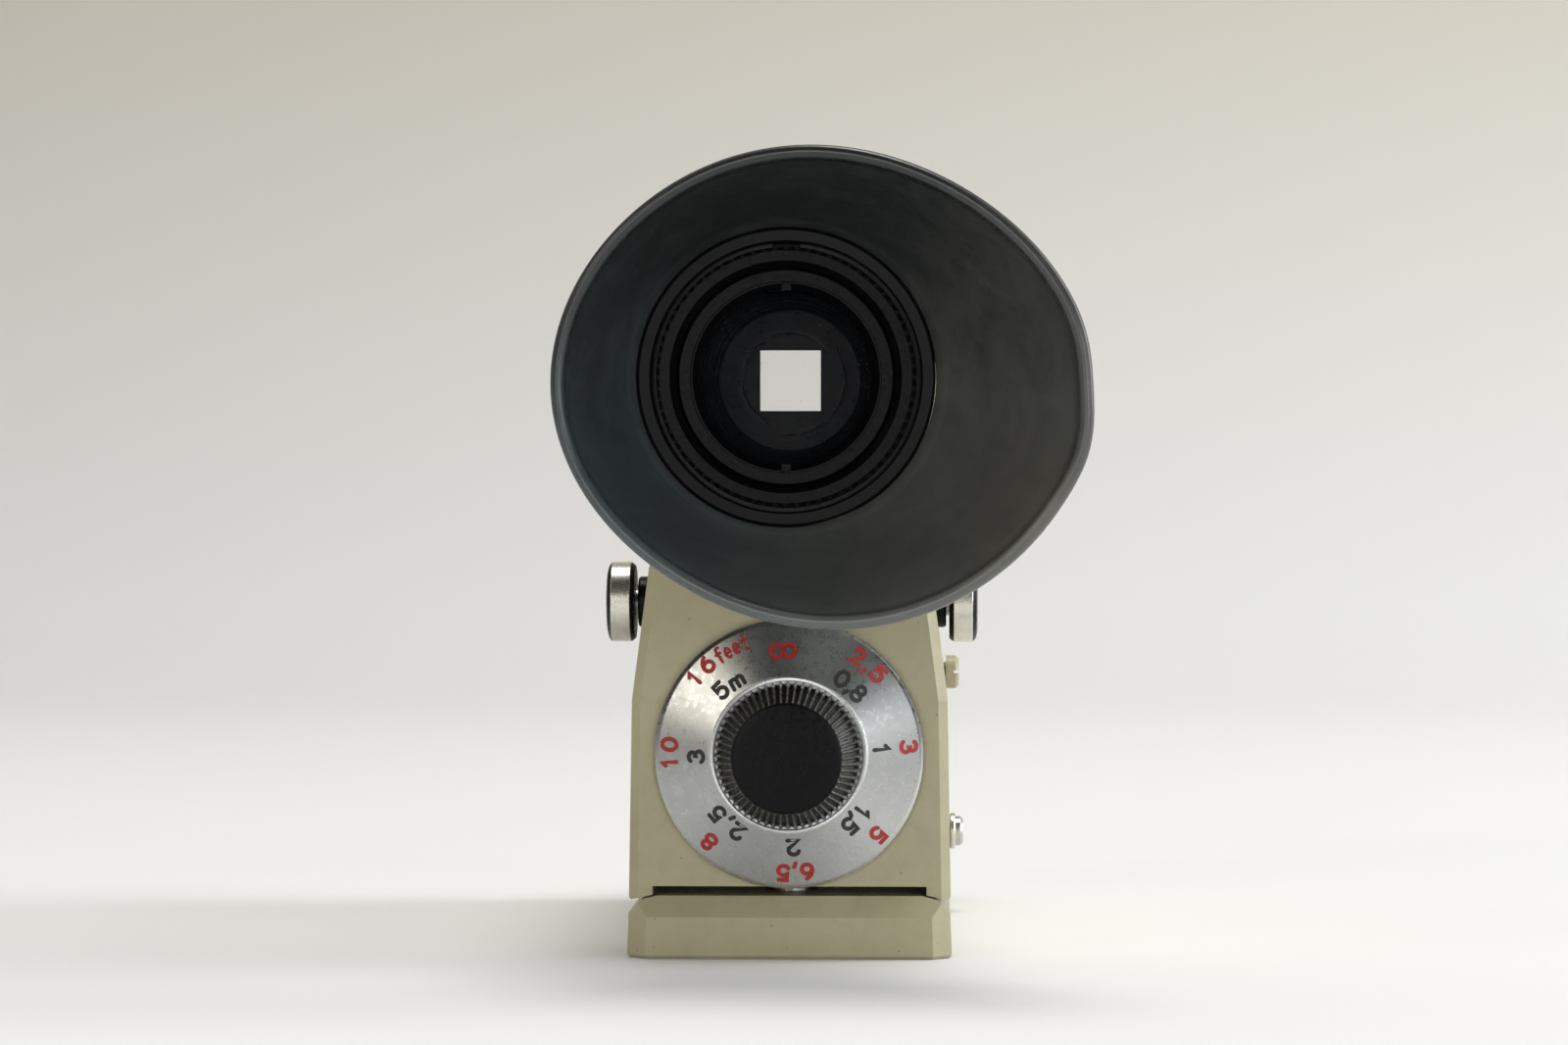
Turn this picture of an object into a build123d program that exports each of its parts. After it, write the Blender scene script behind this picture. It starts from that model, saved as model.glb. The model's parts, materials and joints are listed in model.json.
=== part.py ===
"""Optical viewfinder with parallax dial, adjustable field mask, dioptre eyepiece and winged eyecup.

Units are millimetres.  The origin is the centre of the foot's underside.  +Y points from the eye to the
subject, along the optical axis; +X is to the right as the user looks through, and +Z is up.
"""

import os
from math import acos, asin, cos, pi, radians, sin, tan

from build123d import *

# ---------------------------------------------------------------- driving dimensions
# Levels and places
OPTIC_Z = 62.5            # height of the optical axis
DIAL_Z = 22.1             # height of the parallax dial's axis
KNOB_Y, KNOB_Z = -22.0, 38.2     # axis of the focusing knobs' cross shaft
PIVOT_Y, PIVOT_Z = 22.0, 9.6     # axis on which the housing tilts
REAR_Y, FRONT_Y = -34.0, 36.0    # the housing shell's two ends
COVER_T = 3.0

# Foot
FOOT_HALF_W, FOOT_DRAFT = 17.6, 0.2
FOOT_REAR_Y, FOOT_FRONT_Y = -36.0, 33.0
FOOT_H = 6.7
FOOT_CHAMFER_DOWN = 2.2
FOOT_CORNER_DOWN = 1.85   # the long side edges are broken in two steps: a corner, then a shallow land
FOOT_LAND_HALF, FOOT_LAND_DOWN, FOOT_TOP_HALF = 15.95, 0.4, 14.4
CHANNEL_HALF_W, CHANNEL_LIP, CHANNEL_H = 10.0, 1.2, 3.0
CHANNEL_REAR_Y = -26.0
RAIL_SCREWS_Y = (-6.0, 10.0)

# Housing
BASE_HALF, SHOULDER_HALF, NECK_HALF = 17.45, 17.12, 13.15
BASE_Z, SHOULDER_Z, NECK_Z = 6.7, 27.8, 58.5
WALL, REAR_WALL = 2.4, 2.8
BARREL_R, BARREL_BORE = 16.0, 13.5
NOTCH_HALF, NOTCH_Z = 14.85, 7.7
FLANK_LOW_Z = 6.15        # the flanks reach down past the foot's top, sloping with its broken edges
TRUNNION_Y, TRUNNION_Z = 27.0, 28.5

# Fits
RUN = 0.05                # radial clearance of a running fit
SEAT = 0.02               # radial clearance of a fixed seat

# Parallax drive
DIAL_R, DIAL_BORE_R, DIAL_RISE = 14.55, 8.25, 3.3
DIAL_RIM = 0.6
DIAL_BACK_Y = REAR_Y - 0.35
KNOB_BASE_Y = DIAL_BACK_Y - DIAL_RIM - DIAL_RISE
DIAL_MARKS = 8
DIAL_TURN, TILT_PER_TURN = 315.0, 0.0222
CAM_Y0, CAM_Y1 = -26.5, -23.5
CAM_Y = (CAM_Y0 + CAM_Y1) / 2
CAM_START_R = 5.2
FOLLOWER_GAP = 0.1
FOLLOWER_Z = DIAL_Z - CAM_START_R - FOLLOWER_GAP
SHAFT_R = 2.0
CLICK_X, CLICK_SCREW_Z = 9.6, DIAL_Z - 8.0
SPRING_Y, SPRING_LOW, SPRING_HIGH = -8.0, 9.6, 26.4

# Focusing drive
MODULE, PINION_TEETH, PRESSURE = 0.5, 16, radians(20)
PIN_X, PIN_R = 3.4, 0.5
BACKLASH = 0.03
TOOTH_UP, TOOTH_DOWN = 0.8 * MODULE, 1.2 * MODULE
PITCH_R = MODULE * PINION_TEETH / 2
RACK_Z = KNOB_Z + PITCH_R
FOCUS_TRAVEL = 3.8
CROSS_R = 1.5
ROD_X, ROD_Z, ROD_R = 7.0, 48.0, 1.0

# Eyepiece and eyecup
BARREL_END_Y = -46.0
FLANGE_R = 15.8
RECESS_R, CELL_R = 14.25, 11.55
CELL_FRONT_Y, CELL_TRAVEL = -38.4, 0.75
KEY_Y, KEY_R = -39.4, 0.7
BAFFLE_R = 10.5
MASK_HALF = 3.3           # half the square field opening
CUP_BORE, CUP_COLLAR_R, CUP_WALL = FLANGE_R + RUN, 17.4, 1.3
CUP_TILT = 8.3            # the mouth leans, so that its long side reaches the temple
CUP_ROLL = -7.7
CUP_MOUTH = (4.1, -66.0, OPTIC_Z - 1.5)
CUP_LONG, CUP_SHORT = 27.4, 23.8
BEAD_R, BEAD_OUT, BEAD_EDGE = 0.62, 0.5, 0.35
CUP_FRONT_Y = -36.0       # the collar's front edge, round the barrel

os.makedirs("parts", exist_ok=True)


# ---------------------------------------------------------------- helpers
def across(y, z=0.0):
    """A plane square to the optical axis: local x is +X, local y is +Z, and it faces the eye."""
    return Plane(origin=(0, y, z), x_dir=(1, 0, 0), z_dir=(0, -1, 0))


def turning(z, x=0.0):
    """A plane through a fore-and-aft axis at height z: local x is +Y and local y is the radius."""
    return Plane(origin=(x, 0, z), x_dir=(0, 1, 0), z_dir=(1, 0, 0))


def fore_aft(z, x=0.0):
    """The fore-and-aft axis that turned parts at height z are revolved about."""
    return Axis((x, 0, z), (0, 1, 0))


def cross_turning(y, z):
    """A plane through a cross axis: local x is +X and local y is the radius."""
    return Plane(origin=(0, y, z), x_dir=(1, 0, 0), z_dir=(0, -1, 0))


def cross_axis(y, z):
    return Axis((0, y, z), (1, 0, 0))


def side_plane(x):
    """A plane facing +X: local x is +Y, local y is +Z."""
    return Plane(origin=(x, 0, 0), x_dir=(0, 1, 0), z_dir=(1, 0, 0))


def upright_turning(x, y):
    """A plane through an upright axis: local x is the radius and local y is +Z."""
    return Plane(origin=(x, y, 0), x_dir=(1, 0, 0), z_dir=(0, -1, 0))


def upright_axis(x, y):
    return Axis((x, y, 0), (0, 0, 1))


def dome(apex_y, edge_y, radius):
    """Half of a lens surface: an arc from the axis out to the edge, centred on the axis."""
    sag = edge_y - apex_y
    sphere = (radius ** 2 + sag ** 2) / (2 * sag)
    half_angle = asin(radius / abs(sphere)) / 2
    middle = (apex_y + sphere * (1 - cos(half_angle)), abs(sphere) * sin(half_angle))
    return ThreePointArc((apex_y, 0), middle, (edge_y, radius))


def lens_profile(apex0, edge0, edge1, apex1, radius):
    """Profile of a lens between its surface towards the eye (0) and its surface towards the subject (1)."""
    dome(apex0, edge0, radius)
    Line((edge0, radius), (edge1, radius))
    dome(apex1, edge1, radius)
    Line((apex1, 0), (apex0, 0))


def keep(builder, name):
    """Labels a finished piece and writes its STEP file."""
    builder.part.label = name
    export_step(builder.part, f"parts/{name}.step")


def wall_x(z):
    """Half-width of the housing's outside at height z."""
    if z < SHOULDER_Z:
        return BASE_HALF + (SHOULDER_HALF - BASE_HALF) * (z - BASE_Z) / (SHOULDER_Z - BASE_Z)
    return SHOULDER_HALF + (NECK_HALF - SHOULDER_HALF) * (z - SHOULDER_Z) / (NECK_Z - SHOULDER_Z)


def column_outline(inset=0.0, bottom=BASE_Z, top=NECK_Z):
    """The housing column's section, as a closed outline in (x, z)."""
    right = [(wall_x(z) - inset, z) for z in (bottom, SHOULDER_Z, top)]
    left = [(-x, z) for x, z in reversed(right)]
    return right + left


# ---------------------------------------------------------------- foot
EAR_X0, EAR_X1 = 11.5, 13.6
BRACKET_SCREWS = [(x, y) for x in (-8, 8) for y in (PIVOT_Y - 2, PIVOT_Y + 2)]
SEAT_DEPTH = 1.2
BRACKET_Z = FOOT_H - SEAT_DEPTH
FOOT_SIDE = [(FOOT_HALF_W, 0), (FOOT_HALF_W - FOOT_DRAFT, FOOT_H - FOOT_CORNER_DOWN),
             (FOOT_LAND_HALF, FOOT_H - FOOT_LAND_DOWN), (FOOT_TOP_HALF, FOOT_H)]
with BuildPart() as foot_block:
    with BuildSketch(across(FOOT_FRONT_Y)):
        with BuildLine():
            Polyline(*FOOT_SIDE, *[(-x, z) for x, z in reversed(FOOT_SIDE)], close=True)
        make_face()
    extrude(amount=FOOT_FRONT_Y - FOOT_REAR_Y)
    # sloping ends
    with BuildSketch(side_plane(-FOOT_HALF_W - 1)):
        with BuildLine():
            Polyline(
                (FOOT_REAR_Y - 1, FOOT_H + 1),
                (FOOT_REAR_Y - 1, FOOT_H - FOOT_CHAMFER_DOWN),
                (FOOT_REAR_Y, FOOT_H - FOOT_CHAMFER_DOWN),
                (FOOT_REAR_Y + 1.7, FOOT_H),
                (FOOT_REAR_Y + 1.7, FOOT_H + 1),
                close=True,
            )
        make_face()
        with BuildLine():
            Polyline(
                (FOOT_FRONT_Y + 1, FOOT_H + 1),
                (FOOT_FRONT_Y + 1, FOOT_H - 3.2),
                (FOOT_FRONT_Y, FOOT_H - 3.2),
                (FOOT_FRONT_Y - 4.0, FOOT_H),
                (FOOT_FRONT_Y - 4.0, FOOT_H + 1),
                close=True,
            )
        make_face()
    extrude(amount=2 * FOOT_HALF_W + 2, mode=Mode.SUBTRACT)
    uprights = foot_block.edges().filter_by(lambda edge: abs(edge.tangent_at(0.5).Z) > 0.99)
    chamfer(uprights, length=2.0)
    chamfer(foot_block.faces().sort_by(Axis.Z)[0].edges(), length=0.35)
    # dovetail channel for the camera's rail, closed at the rear
    with BuildSketch(across(FOOT_FRONT_Y + 1)):
        with BuildLine():
            Polyline(
                (-CHANNEL_HALF_W + CHANNEL_LIP, -0.5),
                (CHANNEL_HALF_W - CHANNEL_LIP, -0.5),
                (CHANNEL_HALF_W - CHANNEL_LIP, 0),
                (CHANNEL_HALF_W, CHANNEL_H),
                (-CHANNEL_HALF_W, CHANNEL_H),
                (-CHANNEL_HALF_W + CHANNEL_LIP, 0),
                close=True,
            )
        make_face()
    extrude(amount=FOOT_FRONT_Y + 1 - CHANNEL_REAR_Y, mode=Mode.SUBTRACT)
    # seats for the bracket, the follower and the shoe spring's screws
    with Locations((0, PIVOT_Y, FOOT_H)):
        Box(2 * EAR_X1 + 0.2, 8.0, SEAT_DEPTH, align=(Align.CENTER, Align.CENTER, Align.MAX),
            mode=Mode.SUBTRACT)
    with Locations(*[(x, y, FOOT_H) for x, y in BRACKET_SCREWS]):
        Hole(radius=0.9, depth=2.6)
    with Locations((0, CAM_Y, FOOT_H)):
        Hole(radius=2.0, depth=2.8)
    with Locations((0, SPRING_Y, FOOT_H)):
        Hole(radius=0.9, depth=2.4)
    with Locations(*[(0, y, 0) for y in RAIL_SCREWS_Y]):
        Hole(radius=0.7, depth=CHANNEL_H + 1.8)
keep(foot_block, "foot_block")

# leaf spring inside the channel that grips the camera's rail
with BuildPart() as shoe_spring:
    with BuildSketch(side_plane(-4.0)):
        with BuildLine():
            Polyline((0.0, 2.65), (-8.5, 2.65), (-8.5, 3.0), (12.5, 3.0), (12.5, 2.65), (4.0, 2.65))
            Spline((4.0, 2.65), (2.0, 2.1), (0.0, 2.65), tangents=((-1, 0), (-1, 0)))
        make_face()
    extrude(amount=8.0)
    with Locations(*[(0, y, 0) for y in RAIL_SCREWS_Y]):
        Hole(radius=0.75, depth=6)
keep(shoe_spring, "shoe_spring")

with BuildPart() as shoe_spring_screws:
    for y in RAIL_SCREWS_Y:
        with BuildSketch(upright_turning(0, y)):
            with BuildLine():
                Polyline((0, 1.75), (1.25, 1.75), (1.5, 2.1), (1.5, 2.65), (0.7 - SEAT, 2.65),
                         (0.7 - SEAT, 4.6), (0, 4.6), close=True)
            make_face()
        revolve(axis=upright_axis(0, y))
keep(shoe_spring_screws, "shoe_spring_screws")

# U-shaped bracket with the two ears that carry the tilt pivot
with BuildPart() as pivot_bracket:
    with Locations((0, PIVOT_Y, BRACKET_Z)):
        Box(2 * EAR_X1, 7.8, 1.6, align=(Align.CENTER, Align.CENTER, Align.MIN))
    for side in (-1, 1):
        with BuildSketch(side_plane(EAR_X0 if side > 0 else -EAR_X1)):
            with Locations((PIVOT_Y, PIVOT_Z)):
                Circle(2.7)
            with Locations((PIVOT_Y, (BRACKET_Z + PIVOT_Z) / 2)):
                Rectangle(5.4, PIVOT_Z - BRACKET_Z)
        extrude(amount=EAR_X1 - EAR_X0)
    with BuildSketch(side_plane(-15)):
        with Locations((PIVOT_Y, PIVOT_Z)):
            Circle(1.0)
    extrude(amount=30, mode=Mode.SUBTRACT)
    with Locations(*[(x, y, BRACKET_Z + 1.6) for x, y in BRACKET_SCREWS]):
        Hole(radius=0.95, depth=2)
keep(pivot_bracket, "pivot_bracket")

with BuildPart() as bracket_screws:
    for x, y in BRACKET_SCREWS:
        with BuildSketch(upright_turning(x, y)):
            with BuildLine():
                Polyline((0, 4.3), (0.88, 4.3), (0.88, 7.1), (1.6, 7.1), (1.6, 7.9), (1.3, 8.2),
                         (0, 8.2), close=True)
            make_face()
        revolve(axis=upright_axis(x, y))
        with Locations((x, y, 8.2)):
            Box(3.4, 0.4, 0.9, mode=Mode.SUBTRACT)
keep(bracket_screws, "bracket_screws")

# hardened follower that the parallax cam rides on
with BuildPart() as cam_follower:
    with BuildSketch(upright_turning(0, CAM_Y)):
        with BuildLine():
            Line((0, FOOT_H - 2.6), (2.0 - SEAT, FOOT_H - 2.6))
            Line((2.0 - SEAT, FOOT_H - 2.6), (2.0 - SEAT, FOOT_H))
            Line((2.0 - SEAT, FOOT_H), (2.9, FOOT_H))
            Line((2.9, FOOT_H), (2.9, FOOT_H + 1.2))
            Line((2.9, FOOT_H + 1.2), (1.6, FOOT_H + 2.2))
            Line((1.6, FOOT_H + 2.2), (1.6, FOLLOWER_Z - 1.6))
            RadiusArc((1.6, FOLLOWER_Z - 1.6), (0, FOLLOWER_Z), -1.6)
            Line((0, FOLLOWER_Z), (0, FOOT_H - 2.6))
        make_face()
    revolve(axis=upright_axis(0, CAM_Y))
keep(cam_follower, "cam_follower")

# eye post for the return spring's lower hook
with BuildPart() as spring_post:
    with Locations((0, SPRING_Y, FOOT_H - 2.2)):
        Cylinder(radius=0.9 - SEAT, height=2.2, align=(Align.CENTER, Align.CENTER, Align.MIN))
    with Locations((0, SPRING_Y, FOOT_H)):
        Cylinder(radius=1.8, height=1.0, align=(Align.CENTER, Align.CENTER, Align.MIN))
        Cylinder(radius=1.0, height=2.6, align=(Align.CENTER, Align.CENTER, Align.MIN))
keep(spring_post, "spring_post")

# return spring, as the tube that its coils fill
with BuildPart() as return_spring:
    with BuildSketch(Plane.XY.offset(SPRING_LOW)):
        with Locations((0, SPRING_Y)):
            Circle(2.4)
            Circle(1.5, mode=Mode.SUBTRACT)
    extrude(amount=SPRING_HIGH - SPRING_LOW)
keep(return_spring, "return_spring")

# shoulder screws on which the housing tilts, with their spacing collars
COLLAR_X0, COLLAR_X1, PIVOT_HEAD_X = wall_x(PIVOT_Z) + 0.25, 18.3, 19.2
for side, name in ((-1, "pivot_screw_left"), (1, "pivot_screw_right")):
    with BuildPart() as pivot_screw:
        with BuildSketch(cross_turning(PIVOT_Y, PIVOT_Z)):
            with BuildLine():
                Polyline((EAR_X0, 0), (EAR_X0, 1.0 - SEAT), (EAR_X1 + 0.02, 1.0 - SEAT),
                         (EAR_X1 + 0.02, 1.5), (COLLAR_X1, 1.5), (COLLAR_X1, 1.75),
                         (PIVOT_HEAD_X - 0.3, 1.75), (PIVOT_HEAD_X, 1.45), (PIVOT_HEAD_X, 0), close=True)
            make_face()
        revolve(axis=cross_axis(PIVOT_Y, PIVOT_Z))
        with Locations((PIVOT_HEAD_X, PIVOT_Y, PIVOT_Z)):
            Box(0.9, 0.5, 5.0, mode=Mode.SUBTRACT)
        if side < 0:
            mirror(about=Plane.YZ, mode=Mode.REPLACE)
    keep(pivot_screw, name)

with BuildPart() as pivot_collars:
    with BuildSketch(cross_turning(PIVOT_Y, PIVOT_Z)):
        with BuildLine():
            Polyline((COLLAR_X0, 1.5 + SEAT), (COLLAR_X0, 2.0), (COLLAR_X0 + 0.15, 2.15),
                     (COLLAR_X1 - 0.15, 2.15), (COLLAR_X1, 2.0), (COLLAR_X1, 1.5 + SEAT), close=True)
        make_face()
    revolve(axis=cross_axis(PIVOT_Y, PIVOT_Z))
    mirror(about=Plane.YZ)
keep(pivot_collars, "pivot_collars")

# ---------------------------------------------------------------- housing
COVER_SCREWS = [(13.2, 21.0), (11.0, 43.5)]
INDEX_Z = DIAL_Z + DIAL_R + 1.2
FLANK_NOTCH = [(BASE_HALF, FLANK_LOW_Z - 1), (BASE_HALF, FLANK_LOW_Z), (NOTCH_HALF, BASE_Z + 0.05),
               (NOTCH_HALF, NOTCH_Z)]
with BuildPart() as housing_shell:
    with BuildSketch(across(FRONT_Y)):
        with BuildLine():
            Polyline(*column_outline(bottom=FLANK_LOW_Z), close=True)
        make_face()
        with Locations((0, OPTIC_Z)):
            Circle(BARREL_R)
    extrude(amount=FRONT_Y - REAR_Y)
    # soften the rear face's outline down to its lower edge, then the flanks' lower edges
    rear_outline = housing_shell.faces().sort_by(Axis.Y)[0].outer_wire().edges()
    chamfer(rear_outline.filter_by(Axis.X, reverse=True), length=1.0)
    fillet(housing_shell.edges().filter_by(Axis.Y).group_by(Axis.Z)[0], radius=0.5)
    # cavity, open at the front and below
    with BuildSketch(across(FRONT_Y)):
        with BuildLine():
            Polyline(*column_outline(WALL, BASE_Z - 0.1, 54), close=True)
        make_face()
    extrude(amount=FRONT_Y - REAR_Y - REAR_WALL, mode=Mode.SUBTRACT)
    with BuildSketch(across(FRONT_Y)):
        with Locations((0, OPTIC_Z)):
            Circle(BARREL_BORE)
    extrude(amount=FRONT_Y - REAR_Y, mode=Mode.SUBTRACT)
    # posts for the front cover's screws
    with BuildSketch(across(FRONT_Y)):
        for x, z in COVER_SCREWS:
            with Locations((x, z), (-x, z)):
                Rectangle(3.6, 4.4)
    extrude(amount=9.0)
    with BuildSketch(across(FRONT_Y)):
        for x, z in COVER_SCREWS:
            with Locations((x, z), (-x, z)):
                Circle(0.9)
    extrude(amount=7.0, mode=Mode.SUBTRACT)
    # the flanks straddle the foot, and rise towards the front for the tilt
    with BuildSketch(across(FRONT_Y + 1)):
        with BuildLine():
            Polyline(*FLANK_NOTCH, *[(-x, z) for x, z in reversed(FLANK_NOTCH)], close=True)
        make_face()
    extrude(amount=FRONT_Y - REAR_Y + 2, mode=Mode.SUBTRACT)
    with BuildSketch(side_plane(-20)):
        with BuildLine():
            Polyline((PIVOT_Y - 8, FLANK_LOW_Z), (FRONT_Y + 1, BASE_Z + 2.3), (FRONT_Y + 1, 0),
                     (PIVOT_Y - 8, 0), close=True)
        make_face()
    extrude(amount=40, mode=Mode.SUBTRACT)
    # bores through the flanks
    with BuildSketch(side_plane(-20)):
        with Locations((KNOB_Y, KNOB_Z)):
            Circle(2.8 + SEAT)
        with Locations((PIVOT_Y, PIVOT_Z)):
            Circle(1.5 + RUN)
        with Locations((TRUNNION_Y, TRUNNION_Z)):
            Circle(1.2 + SEAT)
        with Locations((SPRING_Y, SPRING_HIGH + 1.0)):
            Circle(1.0 + SEAT)
    extrude(amount=40, mode=Mode.SUBTRACT)
    # bores through the rear wall
    with BuildSketch(across(REAR_Y + REAR_WALL + 1)):
        with Locations((0, DIAL_Z)):
            Circle(3.6 + SEAT)
        with Locations((CLICK_X, DIAL_Z)):
            Circle(1.0 + RUN)
        with Locations((0, INDEX_Z)):
            Circle(0.6 + SEAT)
        with Locations((CLICK_X, CLICK_SCREW_Z)):
            Circle(0.7)
    extrude(amount=REAR_WALL + 2, mode=Mode.SUBTRACT)
    # blind seats of the guide rods
    with BuildSketch(across(REAR_Y + REAR_WALL + 1)):
        with Locations((ROD_X, ROD_Z), (-ROD_X, ROD_Z)):
            Circle(ROD_R + SEAT)
    extrude(amount=2.4, mode=Mode.SUBTRACT)
keep(housing_shell, "housing_shell")

with BuildPart() as index_pin:
    with BuildSketch(across(REAR_Y + REAR_WALL)):
        with Locations((0, INDEX_Z)):
            Circle(0.6)
    extrude(amount=REAR_WALL)
keep(index_pin, "index_pin")

with BuildPart() as front_cover:
    with BuildSketch(across(FRONT_Y + COVER_T)):
        with BuildLine():
            Polyline(*column_outline(0, BASE_Z + 2.3), close=True)
        make_face()
        with Locations((0, OPTIC_Z)):
            Circle(BARREL_R)
    extrude(amount=COVER_T)
    front_face = front_cover.faces().sort_by(Axis.Y)[-1]
    chamfer(front_face.outer_wire().edges(), length=0.8)
    with BuildSketch(across(FRONT_Y + COVER_T)):
        with Locations((0, OPTIC_Z)):
            Circle(13.0)
    extrude(amount=COVER_T, mode=Mode.SUBTRACT)
    with BuildSketch(across(FRONT_Y + 1.5)):
        with Locations((ROD_X, ROD_Z), (-ROD_X, ROD_Z)):
            Circle(ROD_R + SEAT)
    extrude(amount=1.5, mode=Mode.SUBTRACT)
    for x, z in COVER_SCREWS:
        with Locations(
            Plane(origin=(x, FRONT_Y + COVER_T, z), z_dir=(0, 1, 0)),
            Plane(origin=(-x, FRONT_Y + COVER_T, z), z_dir=(0, 1, 0)),
        ):
            CounterSinkHole(radius=1.1, counter_sink_radius=2.1, counter_sink_angle=90)
keep(front_cover, "front_cover")

HEAD_Y = FRONT_Y + COVER_T - 0.2
with BuildPart() as cover_screws:
    for x, z in COVER_SCREWS:
        for sx in (-x, x):
            with BuildSketch(turning(z, sx)):
                with BuildLine():
                    Polyline((HEAD_Y, 0), (HEAD_Y, 1.85), (HEAD_Y - 0.95, 0.88), (HEAD_Y - 8.8, 0.88),
                             (HEAD_Y - 9.2, 0.5), (HEAD_Y - 9.2, 0), close=True)
                make_face()
            revolve(axis=fore_aft(z, sx))
            with Locations((sx, HEAD_Y, z)):
                Box(4.0, 1.0, 0.45, mode=Mode.SUBTRACT)
keep(cover_screws, "cover_screws")

# enamelled screws in the two flanks, and the rod the return spring hangs from
with BuildPart() as flank_screws:
    with BuildSketch(cross_turning(TRUNNION_Y, TRUNNION_Z)):
        with BuildLine():
            flank = wall_x(TRUNNION_Z - 2.0)
            Polyline((flank - WALL, 0), (flank - WALL, 1.2), (flank + 0.05, 1.2), (flank + 0.05, 2.0),
                     (flank + 1.2, 2.0), (flank + 1.6, 1.6), (flank + 1.6, 0), close=True)
        make_face()
    revolve(axis=cross_axis(TRUNNION_Y, TRUNNION_Z))
    with Locations((flank + 1.6, TRUNNION_Y, TRUNNION_Z)):
        Box(1.2, 5.0, 0.5, mode=Mode.SUBTRACT)
    mirror(about=Plane.YZ)
keep(flank_screws, "flank_screws")

ANCHOR_Z = SPRING_HIGH + 1.0
with BuildPart() as spring_anchor:
    with BuildSketch(side_plane(0.2 - wall_x(ANCHOR_Z))):
        with Locations((SPRING_Y, ANCHOR_Z)):
            Circle(1.0)
    extrude(amount=2 * wall_x(ANCHOR_Z) - 0.4)
keep(spring_anchor, "spring_anchor")

# black collars in which the cross shaft turns
BUSH_X0, BUSH_X1 = 12.3, 17.0
for side, name in ((-1, "shaft_bush_left"), (1, "shaft_bush_right")):
    with BuildPart() as shaft_bush:
        with BuildSketch(cross_turning(KNOB_Y, KNOB_Z)):
            with BuildLine():
                Polyline((BUSH_X0, CROSS_R + RUN), (BUSH_X0, 2.8), (BUSH_X1 - 0.2, 2.8),
                         (BUSH_X1, 2.6), (BUSH_X1, CROSS_R + RUN), close=True)
            make_face()
        revolve(axis=cross_axis(KNOB_Y, KNOB_Z))
        if side < 0:
            mirror(about=Plane.YZ, mode=Mode.REPLACE)
    keep(shaft_bush, name)

for side, name in ((-1, "guide_rod_left"), (1, "guide_rod_right")):
    with BuildPart() as guide_rod:
        with BuildSketch(across(FRONT_Y + 1.4)):
            with Locations((side * ROD_X, ROD_Z)):
                Circle(ROD_R)
        extrude(amount=FRONT_Y + 1.4 - REAR_Y - REAR_WALL + 1.3)
    keep(guide_rod, name)

# ---------------------------------------------------------------- parallax drive
with BuildPart() as dial_bush:
    with BuildSketch(turning(DIAL_Z)):
        with BuildLine():
            Polyline((REAR_Y, SHAFT_R + RUN), (REAR_Y, 3.6), (REAR_Y + REAR_WALL, 3.6),
                     (REAR_Y + REAR_WALL, 5.2), (REAR_Y + 4.0, 5.2), (REAR_Y + 4.0, SHAFT_R + RUN),
                     close=True)
        make_face()
    revolve(axis=fore_aft(DIAL_Z))
keep(dial_bush, "dial_bush")

with BuildPart() as dial_scale:
    with BuildSketch(turning(DIAL_Z)):
        with BuildLine():
            Polyline((DIAL_BACK_Y, 2.6), (DIAL_BACK_Y, DIAL_R), (DIAL_BACK_Y - DIAL_RIM, DIAL_R),
                     (KNOB_BASE_Y, DIAL_BORE_R), (KNOB_BASE_Y, 2.6), close=True)
        make_face()
    revolve(axis=fore_aft(DIAL_Z))
    # click dimples in the back, one for each figure
    with BuildSketch(across(DIAL_BACK_Y)):
        with Locations((0, DIAL_Z)):
            with PolarLocations(CLICK_X, DIAL_MARKS):
                Circle(0.8)
    extrude(amount=0.5, mode=Mode.SUBTRACT)
keep(dial_scale, "dial_scale")

KNOB_H, KNOB_BASE_R, KNOB_TOP_R, KNOB_TEETH = 6.0, 8.15, 5.95, 60
with BuildPart() as dial_knob:
    with BuildSketch(across(KNOB_BASE_Y, DIAL_Z)):
        with BuildLine():
            Polyline(
                *[
                    ((KNOB_BASE_R - 0.5 * (k % 2)) * cos(pi * k / KNOB_TEETH),
                     (KNOB_BASE_R - 0.5 * (k % 2)) * sin(pi * k / KNOB_TEETH))
                    for k in range(2 * KNOB_TEETH)
                ],
                close=True,
            )
        make_face()
    with BuildSketch(across(KNOB_BASE_Y - KNOB_H, DIAL_Z)):
        with BuildLine():
            Polyline(
                *[
                    ((KNOB_TOP_R - 0.25 * (k % 2)) * cos(pi * k / KNOB_TEETH),
                     (KNOB_TOP_R - 0.25 * (k % 2)) * sin(pi * k / KNOB_TEETH))
                    for k in range(2 * KNOB_TEETH)
                ],
                close=True,
            )
        make_face()
    loft(ruled=True)
    with BuildSketch(across(KNOB_BASE_Y)):
        with Locations((0, DIAL_Z)):
            Circle(SHAFT_R + SEAT)
    extrude(amount=KNOB_H - 1.2, mode=Mode.SUBTRACT)
keep(dial_knob, "dial_knob")

with BuildPart() as dial_washer:
    with BuildSketch(across(REAR_Y - 0.05)):
        with Locations((0, DIAL_Z)):
            Circle(5.0)
            Circle(2.62, mode=Mode.SUBTRACT)
    extrude(amount=0.25)
keep(dial_washer, "dial_washer")

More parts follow.
